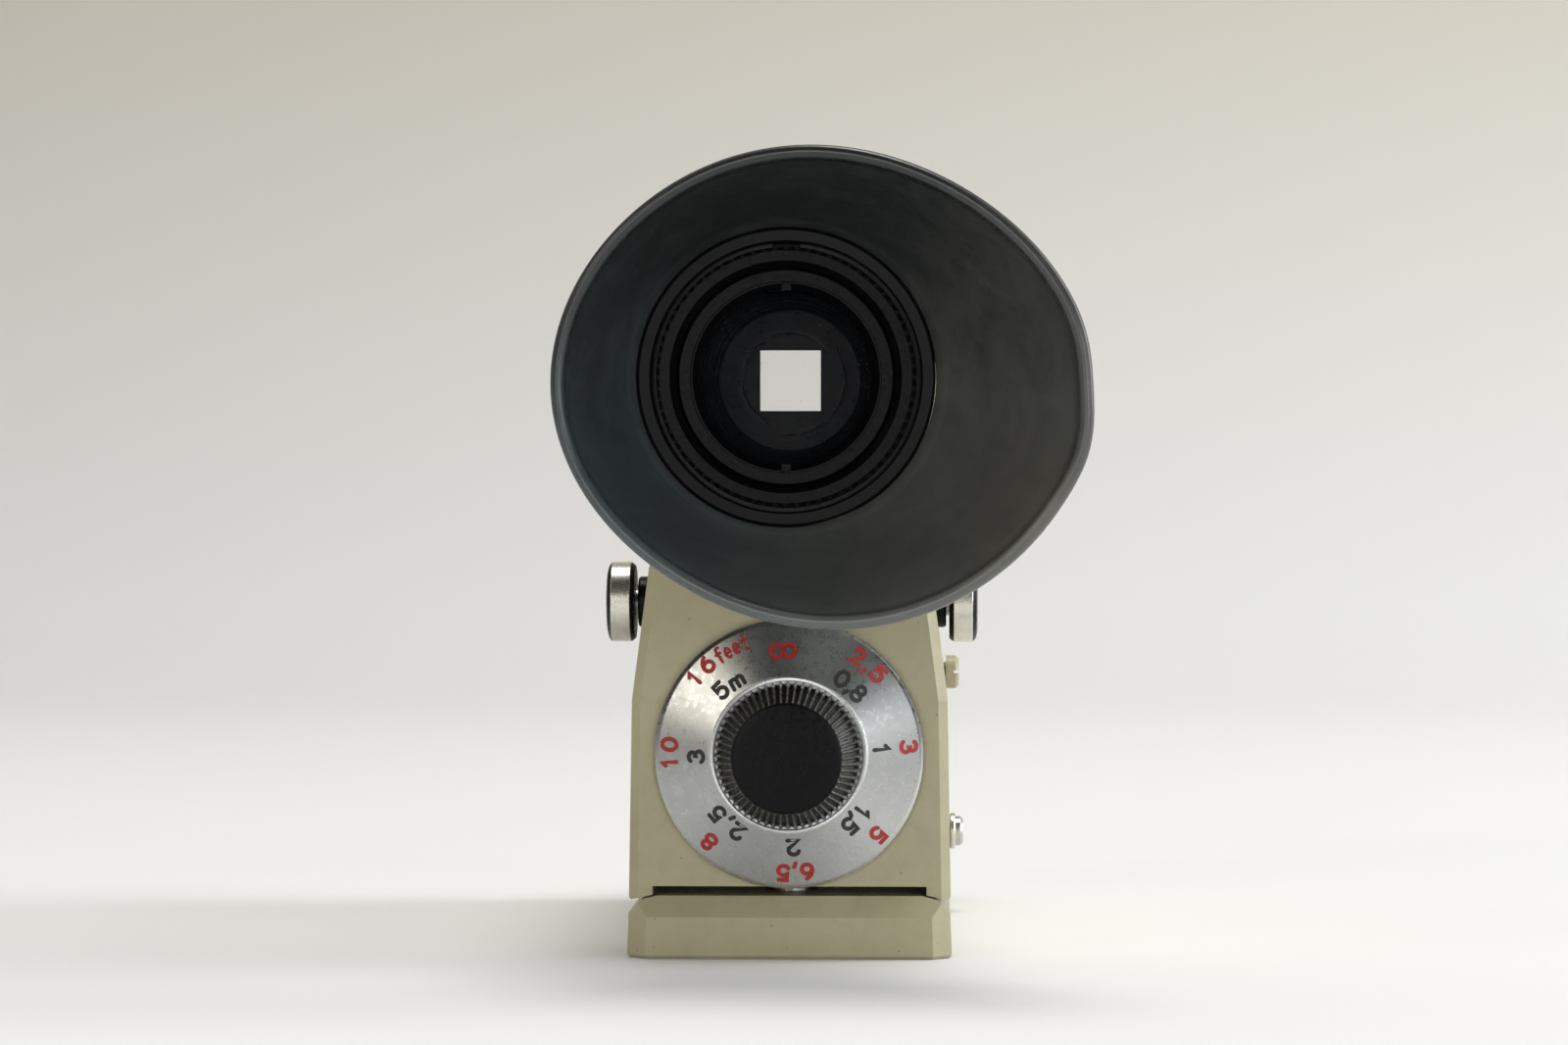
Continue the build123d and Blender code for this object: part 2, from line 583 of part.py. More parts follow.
with BuildPart() as dial_shaft:
    with BuildSketch(turning(DIAL_Z)):
        with BuildLine():
            Polyline((KNOB_BASE_Y - KNOB_H + 1.3, 0), (KNOB_BASE_Y - KNOB_H + 1.3, SHAFT_R),
                     (KNOB_BASE_Y, SHAFT_R), (KNOB_BASE_Y, 2.58), (DIAL_BACK_Y, 2.58),
                     (DIAL_BACK_Y, SHAFT_R), (CAM_Y0, SHAFT_R), (CAM_Y0, 1.6), (CAM_Y1, 1.6),
                     (CAM_Y1, 0.9), (CAM_Y1 + 2.6, 0.9), (CAM_Y1 + 2.6, 0), close=True)
        make_face()
    revolve(axis=fore_aft(DIAL_Z))
keep(dial_shaft, "dial_shaft")


def cam_radius(turn):
    """Distance from the dial's axis down to the follower's dome, in the housing, after that much turn."""
    tilt = radians(turn * TILT_PER_TURN)
    back = PIVOT_Y - CAM_Y
    rise = FOLLOWER_Z - PIVOT_Z
    follower = PIVOT_Z + rise * cos(tilt) - back * sin(tilt)
    return DIAL_Z - follower - FOLLOWER_GAP


with BuildPart() as parallax_cam:
    with BuildSketch(across(CAM_Y1, DIAL_Z)):
        with BuildLine():
            # the point under the shaft after a turn t now stands t further round, against the turn
            spiral = [
                (cam_radius(t) * cos(radians(t - 90)), cam_radius(t) * sin(radians(t - 90)))
                for t in [DIAL_TURN * k / 14 for k in range(15)]
            ]
            rise = Spline(*spiral)
            last = (cam_radius(DIAL_TURN) * cos(radians(DIAL_TURN - 78)),
                    cam_radius(DIAL_TURN) * sin(radians(DIAL_TURN - 78)))
            first = (CAM_START_R * cos(radians(-90 - 20)), CAM_START_R * sin(radians(-90 - 20)))
            Polyline(rise @ 1, last, first, rise @ 0)
        make_face()
        Circle(1.6 + SEAT, mode=Mode.SUBTRACT)
    extrude(amount=CAM_Y1 - CAM_Y0)
keep(parallax_cam, "parallax_cam")

with BuildPart() as cam_nut:
    with BuildSketch(across(CAM_Y1 + 1.6)):
        with Locations((0, DIAL_Z)):
            RegularPolygon(radius=2.3, side_count=6)
            Circle(0.92, mode=Mode.SUBTRACT)
    extrude(amount=1.6)
keep(cam_nut, "cam_nut")

# ball click: the ball sits in the rear wall with a leaf spring behind it
LEAF_Y = REAR_Y + REAR_WALL
LEAF_T = 0.35
with BuildPart() as click_ball:
    with Locations((CLICK_X, REAR_Y + 0.72, DIAL_Z)):
        Sphere(radius=1.0)
keep(click_ball, "click_ball")

with BuildPart() as click_spring:
    with BuildSketch(across(LEAF_Y + LEAF_T)):
        with Locations((CLICK_X, DIAL_Z - 4.2)):
            SlotOverall(12.0, 3.2, rotation=90)
        with Locations((CLICK_X, CLICK_SCREW_Z)):
            Circle(0.75, mode=Mode.SUBTRACT)
    extrude(amount=LEAF_T)
    with BuildSketch(across(LEAF_Y)):
        with Locations((CLICK_X, DIAL_Z)):
            Circle(0.8)
    extrude(amount=REAR_WALL - 1.74)
keep(click_spring, "click_spring")

with BuildPart() as click_screw:
    with BuildSketch(turning(CLICK_SCREW_Z, CLICK_X)):
        with BuildLine():
            Polyline((REAR_Y + 0.6, 0), (REAR_Y + 0.6, 0.68), (LEAF_Y + LEAF_T, 0.68),
                     (LEAF_Y + LEAF_T, 1.4), (LEAF_Y + LEAF_T + 0.8, 1.4), (LEAF_Y + LEAF_T + 0.8, 0),
                     close=True)
        make_face()
    revolve(axis=fore_aft(CLICK_SCREW_Z, CLICK_X))
keep(click_screw, "click_screw")

# ---------------------------------------------------------------- focusing drive
with BuildPart() as cross_shaft:
    with BuildSketch(cross_turning(KNOB_Y, KNOB_Z)):
        with BuildLine():
            Polyline((-19.6, 0), (-19.6, 1.2), (-17.3, 1.2), (-17.3, CROSS_R), (17.3, CROSS_R),
                     (17.3, 1.2), (19.6, 1.2), (19.6, 0), close=True)
        make_face()
    revolve(axis=cross_axis(KNOB_Y, KNOB_Z))
    with Locations((PIN_X, KNOB_Y, KNOB_Z)):
        Cylinder(radius=PIN_R, height=8, mode=Mode.SUBTRACT)
keep(cross_shaft, "cross_shaft")


def involute(angle):
    return tan(angle) - angle


def tooth_flank(steps=5):
    """Radius and half-angle of a pinion tooth, from its root to its tip."""
    base = PITCH_R * cos(PRESSURE)
    half_pitch = (pi * MODULE / 2 - BACKLASH) / 2 / PITCH_R
    radii = [base + (PITCH_R + TOOTH_UP - base) * k / steps for k in range(steps + 1)]
    flank = [(r, half_pitch + involute(PRESSURE) - involute(acos(min(1.0, base / r)))) for r in radii]
    return [(PITCH_R - TOOTH_DOWN, flank[0][1])] + flank


with BuildPart() as drive_pinion:
    with BuildSketch(side_plane(-2.0)):
        with Locations((KNOB_Y, KNOB_Z)):
            Circle(PITCH_R - TOOTH_DOWN + 0.02)
        for k in range(PINION_TEETH):
            middle = 2 * pi * k / PINION_TEETH
            up = [(r, middle - a) for r, a in tooth_flank()]
            down = [(r, middle + a) for r, a in reversed(tooth_flank())]
            outline = [(KNOB_Y + r * cos(a), KNOB_Z + r * sin(a)) for r, a in up + down]
            with BuildLine():
                Polyline((KNOB_Y, KNOB_Z), *outline, close=True)
            make_face()
    extrude(amount=4.0)
    with BuildSketch(side_plane(2.0)):
        with Locations((KNOB_Y, KNOB_Z)):
            Circle(2.6)
    extrude(amount=2.8)
    with BuildSketch(side_plane(-3.0)):
        with Locations((KNOB_Y, KNOB_Z)):
            Circle(CROSS_R + SEAT)
    extrude(amount=10.0, mode=Mode.SUBTRACT)
    with Locations((PIN_X, KNOB_Y, KNOB_Z)):
        Cylinder(radius=PIN_R, height=8, mode=Mode.SUBTRACT)
keep(drive_pinion, "drive_pinion")

with BuildPart() as pinion_pin:
    with Locations((PIN_X, KNOB_Y, KNOB_Z)):
        Cylinder(radius=PIN_R - SEAT, height=5.2)
keep(pinion_pin, "pinion_pin")

# knobs at both ends of the cross shaft: a black core with a bright band
KNOB_X0, KNOB_X1, KNOB_R, BAND_R = 17.35, 20.45, 4.42, 3.6
BAND_X0, BAND_X1 = KNOB_X0 + 0.4, KNOB_X1 - 0.45
for side, where in ((-1, "left"), (1, "right")):
    with BuildPart() as focus_knob:
        with BuildSketch(cross_turning(KNOB_Y, KNOB_Z)):
            with BuildLine():
                Polyline((KNOB_X0, 1.2 + SEAT), (KNOB_X0, KNOB_R - 0.4), (BAND_X0, KNOB_R - 0.05),
                         (BAND_X0, BAND_R), (BAND_X1, BAND_R),
                         (BAND_X1, KNOB_R - 0.05), (KNOB_X1 - 0.15, KNOB_R - 0.45),
                         (KNOB_X1, KNOB_R - 1.1), (KNOB_X1, 2.1), (KNOB_X1 - 0.8, 2.1),
                         (KNOB_X1 - 0.8, 1.2 + SEAT), close=True)
            make_face()
        revolve(axis=cross_axis(KNOB_Y, KNOB_Z))
        if side < 0:
            mirror(about=Plane.YZ, mode=Mode.REPLACE)
    keep(focus_knob, f"knob_{where}")

    with BuildPart() as knob_band:
        with BuildSketch(cross_turning(KNOB_Y, KNOB_Z)):
            with BuildLine():
                Polyline((BAND_X0, BAND_R + SEAT), (BAND_X0, KNOB_R - 0.12),
                         (BAND_X0 + 0.12, KNOB_R), (BAND_X1 - 0.12, KNOB_R),
                         (BAND_X1, KNOB_R - 0.12), (BAND_X1, BAND_R + SEAT), close=True)
            make_face()
        revolve(axis=cross_axis(KNOB_Y, KNOB_Z))
        if side < 0:
            mirror(about=Plane.YZ, mode=Mode.REPLACE)
    keep(knob_band, f"knob_{where}_band")

with BuildPart() as knob_screws:
    with BuildSketch(cross_turning(KNOB_Y, KNOB_Z)):
        with BuildLine():
            Polyline((KNOB_X1 - 0.78, 0), (KNOB_X1 - 0.78, 2.0), (KNOB_X1 - 0.25, 2.0),
                     (KNOB_X1 - 0.05, 1.8), (KNOB_X1 - 0.05, 0), close=True)
        make_face()
    revolve(axis=cross_axis(KNOB_Y, KNOB_Z))
    with Locations((KNOB_X1, KNOB_Y, KNOB_Z)):
        Box(0.9, 0.5, 5.0, mode=Mode.SUBTRACT)
    mirror(about=Plane.YZ)
keep(knob_screws, "knob_screws")

# ---------------------------------------------------------------- lens carriage
CARRIAGE_Y0, CARRIAGE_Y1 = -14.0, -3.0
WEB_Y0, WEB_Z = -26.9, 44.4
RACK_SCREW_X = 3.9
LENS_BORE_R, LENS_SEAT_R = 10.4, 11.2
with BuildPart() as lens_carriage:
    with BuildSketch(across(CARRIAGE_Y1)):
        with Locations((0, OPTIC_Z)):
            Circle(12.9)
    extrude(amount=CARRIAGE_Y1 - CARRIAGE_Y0)
    with Locations((0, WEB_Y0, WEB_Z)):
        Box(18.0, CARRIAGE_Y1 - WEB_Y0, 4.4, align=(Align.CENTER, Align.MIN, Align.MIN))
    with Locations((0, CARRIAGE_Y0, WEB_Z + 4.4)):
        Box(12.0, CARRIAGE_Y1 - CARRIAGE_Y0, 3.6, align=(Align.CENTER, Align.MIN, Align.MIN))
    with BuildSketch(across(CARRIAGE_Y1)):
        with Locations((0, OPTIC_Z)):
            Circle(LENS_BORE_R)
    extrude(amount=CARRIAGE_Y1 - CARRIAGE_Y0, mode=Mode.SUBTRACT)
    with BuildSketch(across(CARRIAGE_Y1)):
        with Locations((0, OPTIC_Z)):
            Circle(LENS_SEAT_R)
    extrude(amount=7.0, mode=Mode.SUBTRACT)
    with BuildSketch(across(CARRIAGE_Y1)):
        with Locations((ROD_X, ROD_Z), (-ROD_X, ROD_Z)):
            Circle(ROD_R + RUN)
    extrude(amount=CARRIAGE_Y1 - WEB_Y0, mode=Mode.SUBTRACT)
    with BuildSketch(Plane.XY.offset(WEB_Z)):
        with Locations((-RACK_SCREW_X, KNOB_Y), (RACK_SCREW_X, KNOB_Y)):
            Circle(0.62)
    extrude(amount=2.6, mode=Mode.SUBTRACT)
keep(lens_carriage, "lens_carriage")

with BuildPart() as carriage_lens:
    with BuildSketch(turning(OPTIC_Z)):
        with BuildLine():
            lens_profile(-8.7, -9.0, -6.4, -6.0, LENS_SEAT_R - RUN)
        make_face()
    revolve(axis=fore_aft(OPTIC_Z))
keep(carriage_lens, "carriage_lens")

with BuildPart() as carriage_retainer:
    with BuildSketch(across(CARRIAGE_Y1 - 0.6)):
        with Locations((0, OPTIC_Z)):
            Circle(LENS_SEAT_R - SEAT)
            Circle(10.0, mode=Mode.SUBTRACT)
            with PolarLocations(LENS_SEAT_R, 2):
                Rectangle(1.2, 1.0, mode=Mode.SUBTRACT)
    extrude(amount=2.4)
keep(carriage_retainer, "carriage_retainer")

RACK_Y0, RACK_Y1 = KNOB_Y - FOCUS_TRAVEL - 1.1, KNOB_Y + FOCUS_TRAVEL + 2.1
with BuildPart() as drive_rack:
    with BuildSketch(side_plane(-2.4)):
        # square-ended bar with straight-sided teeth hanging below it
        with BuildLine():
            Polyline((RACK_Y0, RACK_Z + TOOTH_DOWN), (RACK_Y1, RACK_Z + TOOTH_DOWN),
                     (RACK_Y1, WEB_Z), (RACK_Y0, WEB_Z), close=True)
        make_face()
        pitch = pi * MODULE
        lower = (pitch / 2 - BACKLASH) / 2 - TOOTH_UP * tan(PRESSURE)
        upper = (pitch / 2 - BACKLASH) / 2 + TOOTH_DOWN * tan(PRESSURE)
        for k in range(-3, 3):
            middle = KNOB_Y + (k + 0.5) * pitch
            with BuildLine():
                Polyline((middle - lower, RACK_Z - TOOTH_UP), (middle + lower, RACK_Z - TOOTH_UP),
                         (middle + upper, RACK_Z + TOOTH_DOWN), (middle - upper, RACK_Z + TOOTH_DOWN),
                         close=True)
            make_face()
    extrude(amount=4.8)
    with BuildSketch(Plane.XY.offset(WEB_Z)):
        with Locations((0, KNOB_Y)):
            Rectangle(10.6, 4.4)
    extrude(amount=-1.0)
    with BuildSketch(Plane.XY.offset(WEB_Z)):
        with Locations((-RACK_SCREW_X, KNOB_Y), (RACK_SCREW_X, KNOB_Y)):
            Circle(0.7)
    extrude(amount=-2.0, mode=Mode.SUBTRACT)
keep(drive_rack, "drive_rack")

with BuildPart() as rack_screws:
    for x in (-RACK_SCREW_X, RACK_SCREW_X):
        with BuildSketch(upright_turning(x, KNOB_Y)):
            with BuildLine():
                Polyline((0, WEB_Z - 1.6), (1.1, WEB_Z - 1.6), (1.1, WEB_Z - 1.0), (0.6, WEB_Z - 1.0),
                         (0.6, WEB_Z + 2.2), (0, WEB_Z + 2.2), close=True)
            make_face()
        revolve(axis=upright_axis(x, KNOB_Y))
keep(rack_screws, "rack_screws")

# ---------------------------------------------------------------- eyepiece
BARREL_FRONT_Y = -30.6
RECESS_Y = -41.4
with BuildPart() as eyepiece_barrel:
    with BuildSketch(turning(OPTIC_Z)):
        with BuildLine():
            Polyline((BARREL_FRONT_Y, BAFFLE_R + SEAT), (BARREL_FRONT_Y, BARREL_BORE - SEAT),
                     (REAR_Y, BARREL_BORE - SEAT), (REAR_Y, FLANGE_R), (BARREL_END_Y + 0.3, FLANGE_R),
                     (BARREL_END_Y, FLANGE_R - 0.3), (BARREL_END_Y, RECESS_R + 0.2),
                     (BARREL_END_Y + 0.2, RECESS_R), (RECESS_Y, RECESS_R), (RECESS_Y, CELL_R + RUN),
                     (-37.4, CELL_R + RUN), (-37.4, BAFFLE_R + SEAT), close=True)
        make_face()
    revolve(axis=fore_aft(OPTIC_Z))
    with Locations((0, KEY_Y, OPTIC_Z)):
        Cylinder(radius=KEY_R, height=40, align=(Align.CENTER, Align.CENTER, Align.MAX),
                 mode=Mode.SUBTRACT)
keep(eyepiece_barrel, "eyepiece_barrel")

with BuildPart() as cell_key:
    with Locations((0, KEY_Y, OPTIC_Z - CELL_R + 0.75)):
        Cylinder(radius=KEY_R - SEAT, height=FLANGE_R - 0.4 - CELL_R + 0.75,
                 align=(Align.CENTER, Align.CENTER, Align.MAX))
keep(cell_key, "cell_key")

RING_Y0, RING_Y1 = -47.4, -41.5
RING_TEETH = 72
with BuildPart() as dioptre_ring:
    with BuildSketch(turning(OPTIC_Z)):
        with BuildLine():
            Polyline((RING_Y0, CELL_R + 0.7), (RING_Y0, 13.3), (RING_Y0 + 0.4, 13.7),
                     (-43.6, 13.7), (-43.6, RECESS_R - RUN), (RING_Y1, RECESS_R - RUN),
                     (RING_Y1, CELL_R + RUN), (RING_Y0 + 1.0, CELL_R + RUN), close=True)
        make_face()
    revolve(axis=fore_aft(OPTIC_Z))
    with BuildSketch(across(-44.9)):
        with Locations((0, OPTIC_Z)):
            with PolarLocations(13.75, RING_TEETH):
                Rectangle(0.9, 0.55, mode=Mode.ADD)
    extrude(amount=4.0, mode=Mode.SUBTRACT)
keep(dioptre_ring, "dioptre_ring")

with BuildPart() as ring_circlip:
    with BuildSketch(across(-43.7)):
        with Locations((0, OPTIC_Z)):
            Circle(RECESS_R - SEAT)
            Circle(13.82, mode=Mode.SUBTRACT)
            with Locations((0, 14)):
                Rectangle(3, 3, mode=Mode.SUBTRACT)
    extrude(amount=0.9)
keep(ring_circlip, "ring_circlip")

with BuildPart() as ocular_cell:
    with BuildSketch(turning(OPTIC_Z)):
        with BuildLine():
            Polyline((-46.3, 10.15), (-46.3, CELL_R - 0.3), (-46.0, CELL_R), (CELL_FRONT_Y, CELL_R),
                     (CELL_FRONT_Y, 9.5), (-42.0, 9.5), (-42.0, 10.15), close=True)
        make_face()
    revolve(axis=fore_aft(OPTIC_Z))
    # slot for the key, open at the front and longer than the cell's travel
    with Locations((0, KEY_Y - KEY_R - CELL_TRAVEL - 0.3, OPTIC_Z - CELL_R)):
        Box(2 * KEY_R + 0.1, 6.0, 2.2, align=(Align.CENTER, Align.MIN, Align.CENTER), mode=Mode.SUBTRACT)
keep(ocular_cell, "ocular_cell")

with BuildPart() as ocular_lens:
    with BuildSketch(turning(OPTIC_Z)):
        with BuildLine():
            lens_profile(-44.45, -43.7, -42.0, -42.3, 10.1)
        make_face()
    revolve(axis=fore_aft(OPTIC_Z))
keep(ocular_lens, "ocular_lens")

with BuildPart() as ocular_retainer:
    with BuildSketch(turning(OPTIC_Z)):
        with BuildLine():
            Polyline((-45.9, 10.12), (-45.9, 9.9), (-45.0, 9.2), (-43.9, 9.2), (-43.9, 10.12),
                     close=True)
        make_face()
    revolve(axis=fore_aft(OPTIC_Z))
    with BuildSketch(across(-45.0)):
        with Locations((0, OPTIC_Z)):
            with PolarLocations(9.9, 2, start_angle=90):
                Rectangle(1.6, 1.0)
    extrude(amount=2.0, mode=Mode.SUBTRACT)
keep(ocular_retainer, "ocular_retainer")

# stepped light baffle between the eyepiece and the field mask
BAFFLE_Y0, BAFFLE_Y1 = -37.3, BARREL_FRONT_Y
BAFFLE_STEPS = 6
with BuildPart() as baffle_tube:
    with BuildSketch(turning(OPTIC_Z)):
        with BuildLine():
            steps = []
            for k in range(BAFFLE_STEPS):
                y = BAFFLE_Y0 + (BAFFLE_Y1 - BAFFLE_Y0) * k / BAFFLE_STEPS
                r = 10.0 - 0.42 * k
                steps += [(y, r), (y + 0.35, r - 0.28), (y + 0.7, r - 0.28), (y + 0.75, r - 0.02)]
            Polyline((BAFFLE_Y0, BAFFLE_R), *steps, (BAFFLE_Y1, 7.6), (BAFFLE_Y1, BAFFLE_R), close=True)
        make_face()
    revolve(axis=fore_aft(OPTIC_Z))
keep(baffle_tube, "baffle_tube")

# field mask, with its cover glass, in a holder screwed into the housing's bore
HOLDER_Y0, HOLDER_Y1 = BARREL_FRONT_Y + 0.02, -26.6
with BuildPart() as mask_holder:
    with BuildSketch(turning(OPTIC_Z)):
        with BuildLine():
            Polyline((HOLDER_Y0, 5.2), (HOLDER_Y0, BARREL_BORE - SEAT), (HOLDER_Y1, BARREL_BORE - SEAT),
                     (HOLDER_Y1, 9.0), (HOLDER_Y0 + 0.9, 9.0), (HOLDER_Y0 + 0.9, 5.2), close=True)
        make_face()
    revolve(axis=fore_aft(OPTIC_Z))
    with BuildSketch(across(HOLDER_Y0)):
        with Locations((0, OPTIC_Z)):
            Circle(5.9)
            Circle(5.2, mode=Mode.SUBTRACT)
    extrude(amount=1.2)
keep(mask_holder, "mask_holder")

with BuildPart() as field_mask:
    with BuildSketch(across(HOLDER_Y0 + 1.4)):
        with Locations((0, OPTIC_Z)):
            Circle(9.0 - SEAT)
            Rectangle(2 * MASK_HALF, 2 * MASK_HALF, mode=Mode.SUBTRACT)
    extrude(amount=0.5)
keep(field_mask, "field_mask")

with BuildPart() as mask_glass:
    with BuildSketch(across(HOLDER_Y0 + 2.9)):
        with Locations((0, OPTIC_Z)):
            Circle(9.0 - SEAT)
    extrude(amount=1.5)
keep(mask_glass, "mask_glass")

# ---------------------------------------------------------------- objective
BEZEL_Y0, BEZEL_Y1 = FRONT_Y + COVER_T, 47.0
FILTER_R, FILTER_DEPTH = 14.75, 3.6
BEZEL_TEETH = 60
with BuildPart() as objective_bezel:
    with BuildSketch(turning(OPTIC_Z)):
        with BuildLine():
            Polyline((FRONT_Y, 12.0), (FRONT_Y, 13.0 - SEAT), (BEZEL_Y0, 13.0 - SEAT),
                     (BEZEL_Y0, 16.2), (BEZEL_Y0 + 0.6, 16.8), (BEZEL_Y1 - 0.6, 16.8),
                     (BEZEL_Y1, 16.2), (BEZEL_Y1, FILTER_R + 0.3), (BEZEL_Y1 - 0.3, FILTER_R),
                     (BEZEL_Y1 - FILTER_DEPTH, FILTER_R), (BEZEL_Y1 - FILTER_DEPTH, 13.2),
                     (BEZEL_Y0 + 0.6, 13.2), (BEZEL_Y0 + 0.6, 12.0), close=True)
        make_face()
    revolve(axis=fore_aft(OPTIC_Z))
    with BuildSketch(across(BEZEL_Y1 - 1.4)):
        with Locations((0, OPTIC_Z)):
            with PolarLocations(17.1, BEZEL_TEETH):
                Circle(0.62)
    extrude(amount=BEZEL_Y1 - BEZEL_Y0 - 2.8, mode=Mode.SUBTRACT)
keep(objective_bezel, "objective_bezel")

with BuildPart() as objective_lens:
    with BuildSketch(turning(OPTIC_Z)):
        with BuildLine():
            lens_profile(39.95, 39.7, 41.65, 42.4, 13.1)
        make_face()
    revolve(axis=fore_aft(OPTIC_Z))
keep(objective_lens, "objective_lens")

with BuildPart() as objective_retainer:
    with BuildSketch(across(BEZEL_Y1 - FILTER_DEPTH)):
        with Locations((0, OPTIC_Z)):
            Circle(13.2 - SEAT)
            Circle(12.2, mode=Mode.SUBTRACT)
            with PolarLocations(13.2, 2):
                Rectangle(1.0, 1.2, mode=Mode.SUBTRACT)
    extrude(amount=1.6)
keep(objective_retainer, "objective_retainer")

# ---------------------------------------------------------------- eyecup
LEAN = radians(CUP_TILT)


def cup_plane(share):
    """Section plane of the flare, from the collar (0) to the mouth (1), leaning gradually."""
    lean = LEAN * share
    x, y, z = CUP_MOUTH
    return Plane(
        origin=(x * share, BARREL_END_Y + (y - BARREL_END_Y) * share, OPTIC_Z + (z - OPTIC_Z) * share),
        x_dir=(cos(lean), -sin(lean), 0),
        z_dir=(-sin(lean), -cos(lean), 0),
    )


def cup_section(share, inset):
    """Sketches one section of the flare."""
    ease = share ** 0.8
    long_r = CUP_COLLAR_R + (CUP_LONG - CUP_COLLAR_R) * ease - inset
    short_r = CUP_COLLAR_R + (CUP_SHORT - CUP_COLLAR_R) * ease - inset
    with BuildSketch(cup_plane(share)) as section:
        if share:
            Ellipse(long_r, short_r, rotation=CUP_ROLL)
        else:
            Circle(CUP_COLLAR_R - inset)
    return section.sketch


outer_sections = [cup_section(share, 0.0) for share in (0.0, 0.35, 0.7, 1.0)]
inner_sections = [cup_section(share, CUP_WALL) for share in (0.0, 0.35, 0.7, 1.1)]
with BuildPart() as eyecup:
    # bead round the mouth
    with BuildSketch(cup_plane(1.0).offset(BEAD_R)):
        Ellipse(CUP_LONG + BEAD_OUT, CUP_SHORT + BEAD_OUT, rotation=CUP_ROLL)
    extrude(amount=-2 * BEAD_R)
    chamfer(eyecup.edges(), length=BEAD_EDGE)
    with BuildSketch(across(CUP_FRONT_Y)):
        with Locations((0, OPTIC_Z)):
            Circle(CUP_COLLAR_R)
    extrude(amount=CUP_FRONT_Y - BARREL_END_Y)
    loft(sections=outer_sections)
    loft(sections=inner_sections, mode=Mode.SUBTRACT)
    with BuildSketch(across(CUP_FRONT_Y)):
        with Locations((0, OPTIC_Z)):
            Circle(CUP_BORE)
    extrude(amount=CUP_FRONT_Y - BARREL_END_Y, mode=Mode.SUBTRACT)
keep(eyecup, "eyecup")
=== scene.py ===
"""Looks for the accessory viewfinder: finishes on the CAD pieces, and detailed meshes for the rubber
eyecup, the figured dial, its fluted knob and the return spring.  Lengths are in metres."""

import json
from math import cos, degrees, exp, hypot, pi, radians, sin

import bmesh
import bpy
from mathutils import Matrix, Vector


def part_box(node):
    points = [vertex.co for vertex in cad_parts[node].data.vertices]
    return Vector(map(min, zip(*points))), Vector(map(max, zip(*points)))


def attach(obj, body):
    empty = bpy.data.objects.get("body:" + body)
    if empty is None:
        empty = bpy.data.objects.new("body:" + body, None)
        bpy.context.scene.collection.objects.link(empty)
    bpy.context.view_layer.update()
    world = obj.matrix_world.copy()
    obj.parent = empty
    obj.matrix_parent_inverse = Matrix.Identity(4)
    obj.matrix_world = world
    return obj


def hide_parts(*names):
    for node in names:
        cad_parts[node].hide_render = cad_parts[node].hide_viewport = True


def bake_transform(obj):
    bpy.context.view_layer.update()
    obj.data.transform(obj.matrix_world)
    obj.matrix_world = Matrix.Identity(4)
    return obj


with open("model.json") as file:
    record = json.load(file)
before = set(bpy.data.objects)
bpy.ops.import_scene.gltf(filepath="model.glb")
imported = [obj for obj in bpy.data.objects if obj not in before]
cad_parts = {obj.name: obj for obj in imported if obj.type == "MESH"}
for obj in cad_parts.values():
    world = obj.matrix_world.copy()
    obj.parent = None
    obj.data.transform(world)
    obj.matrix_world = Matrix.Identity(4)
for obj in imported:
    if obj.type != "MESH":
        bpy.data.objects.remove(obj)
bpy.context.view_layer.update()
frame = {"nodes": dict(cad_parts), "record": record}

MM = 0.001


def span(node):
    """Lowest and highest corner of a CAD node, in millimetres."""
    low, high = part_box(node)
    return Vector(low) / MM, Vector(high) / MM


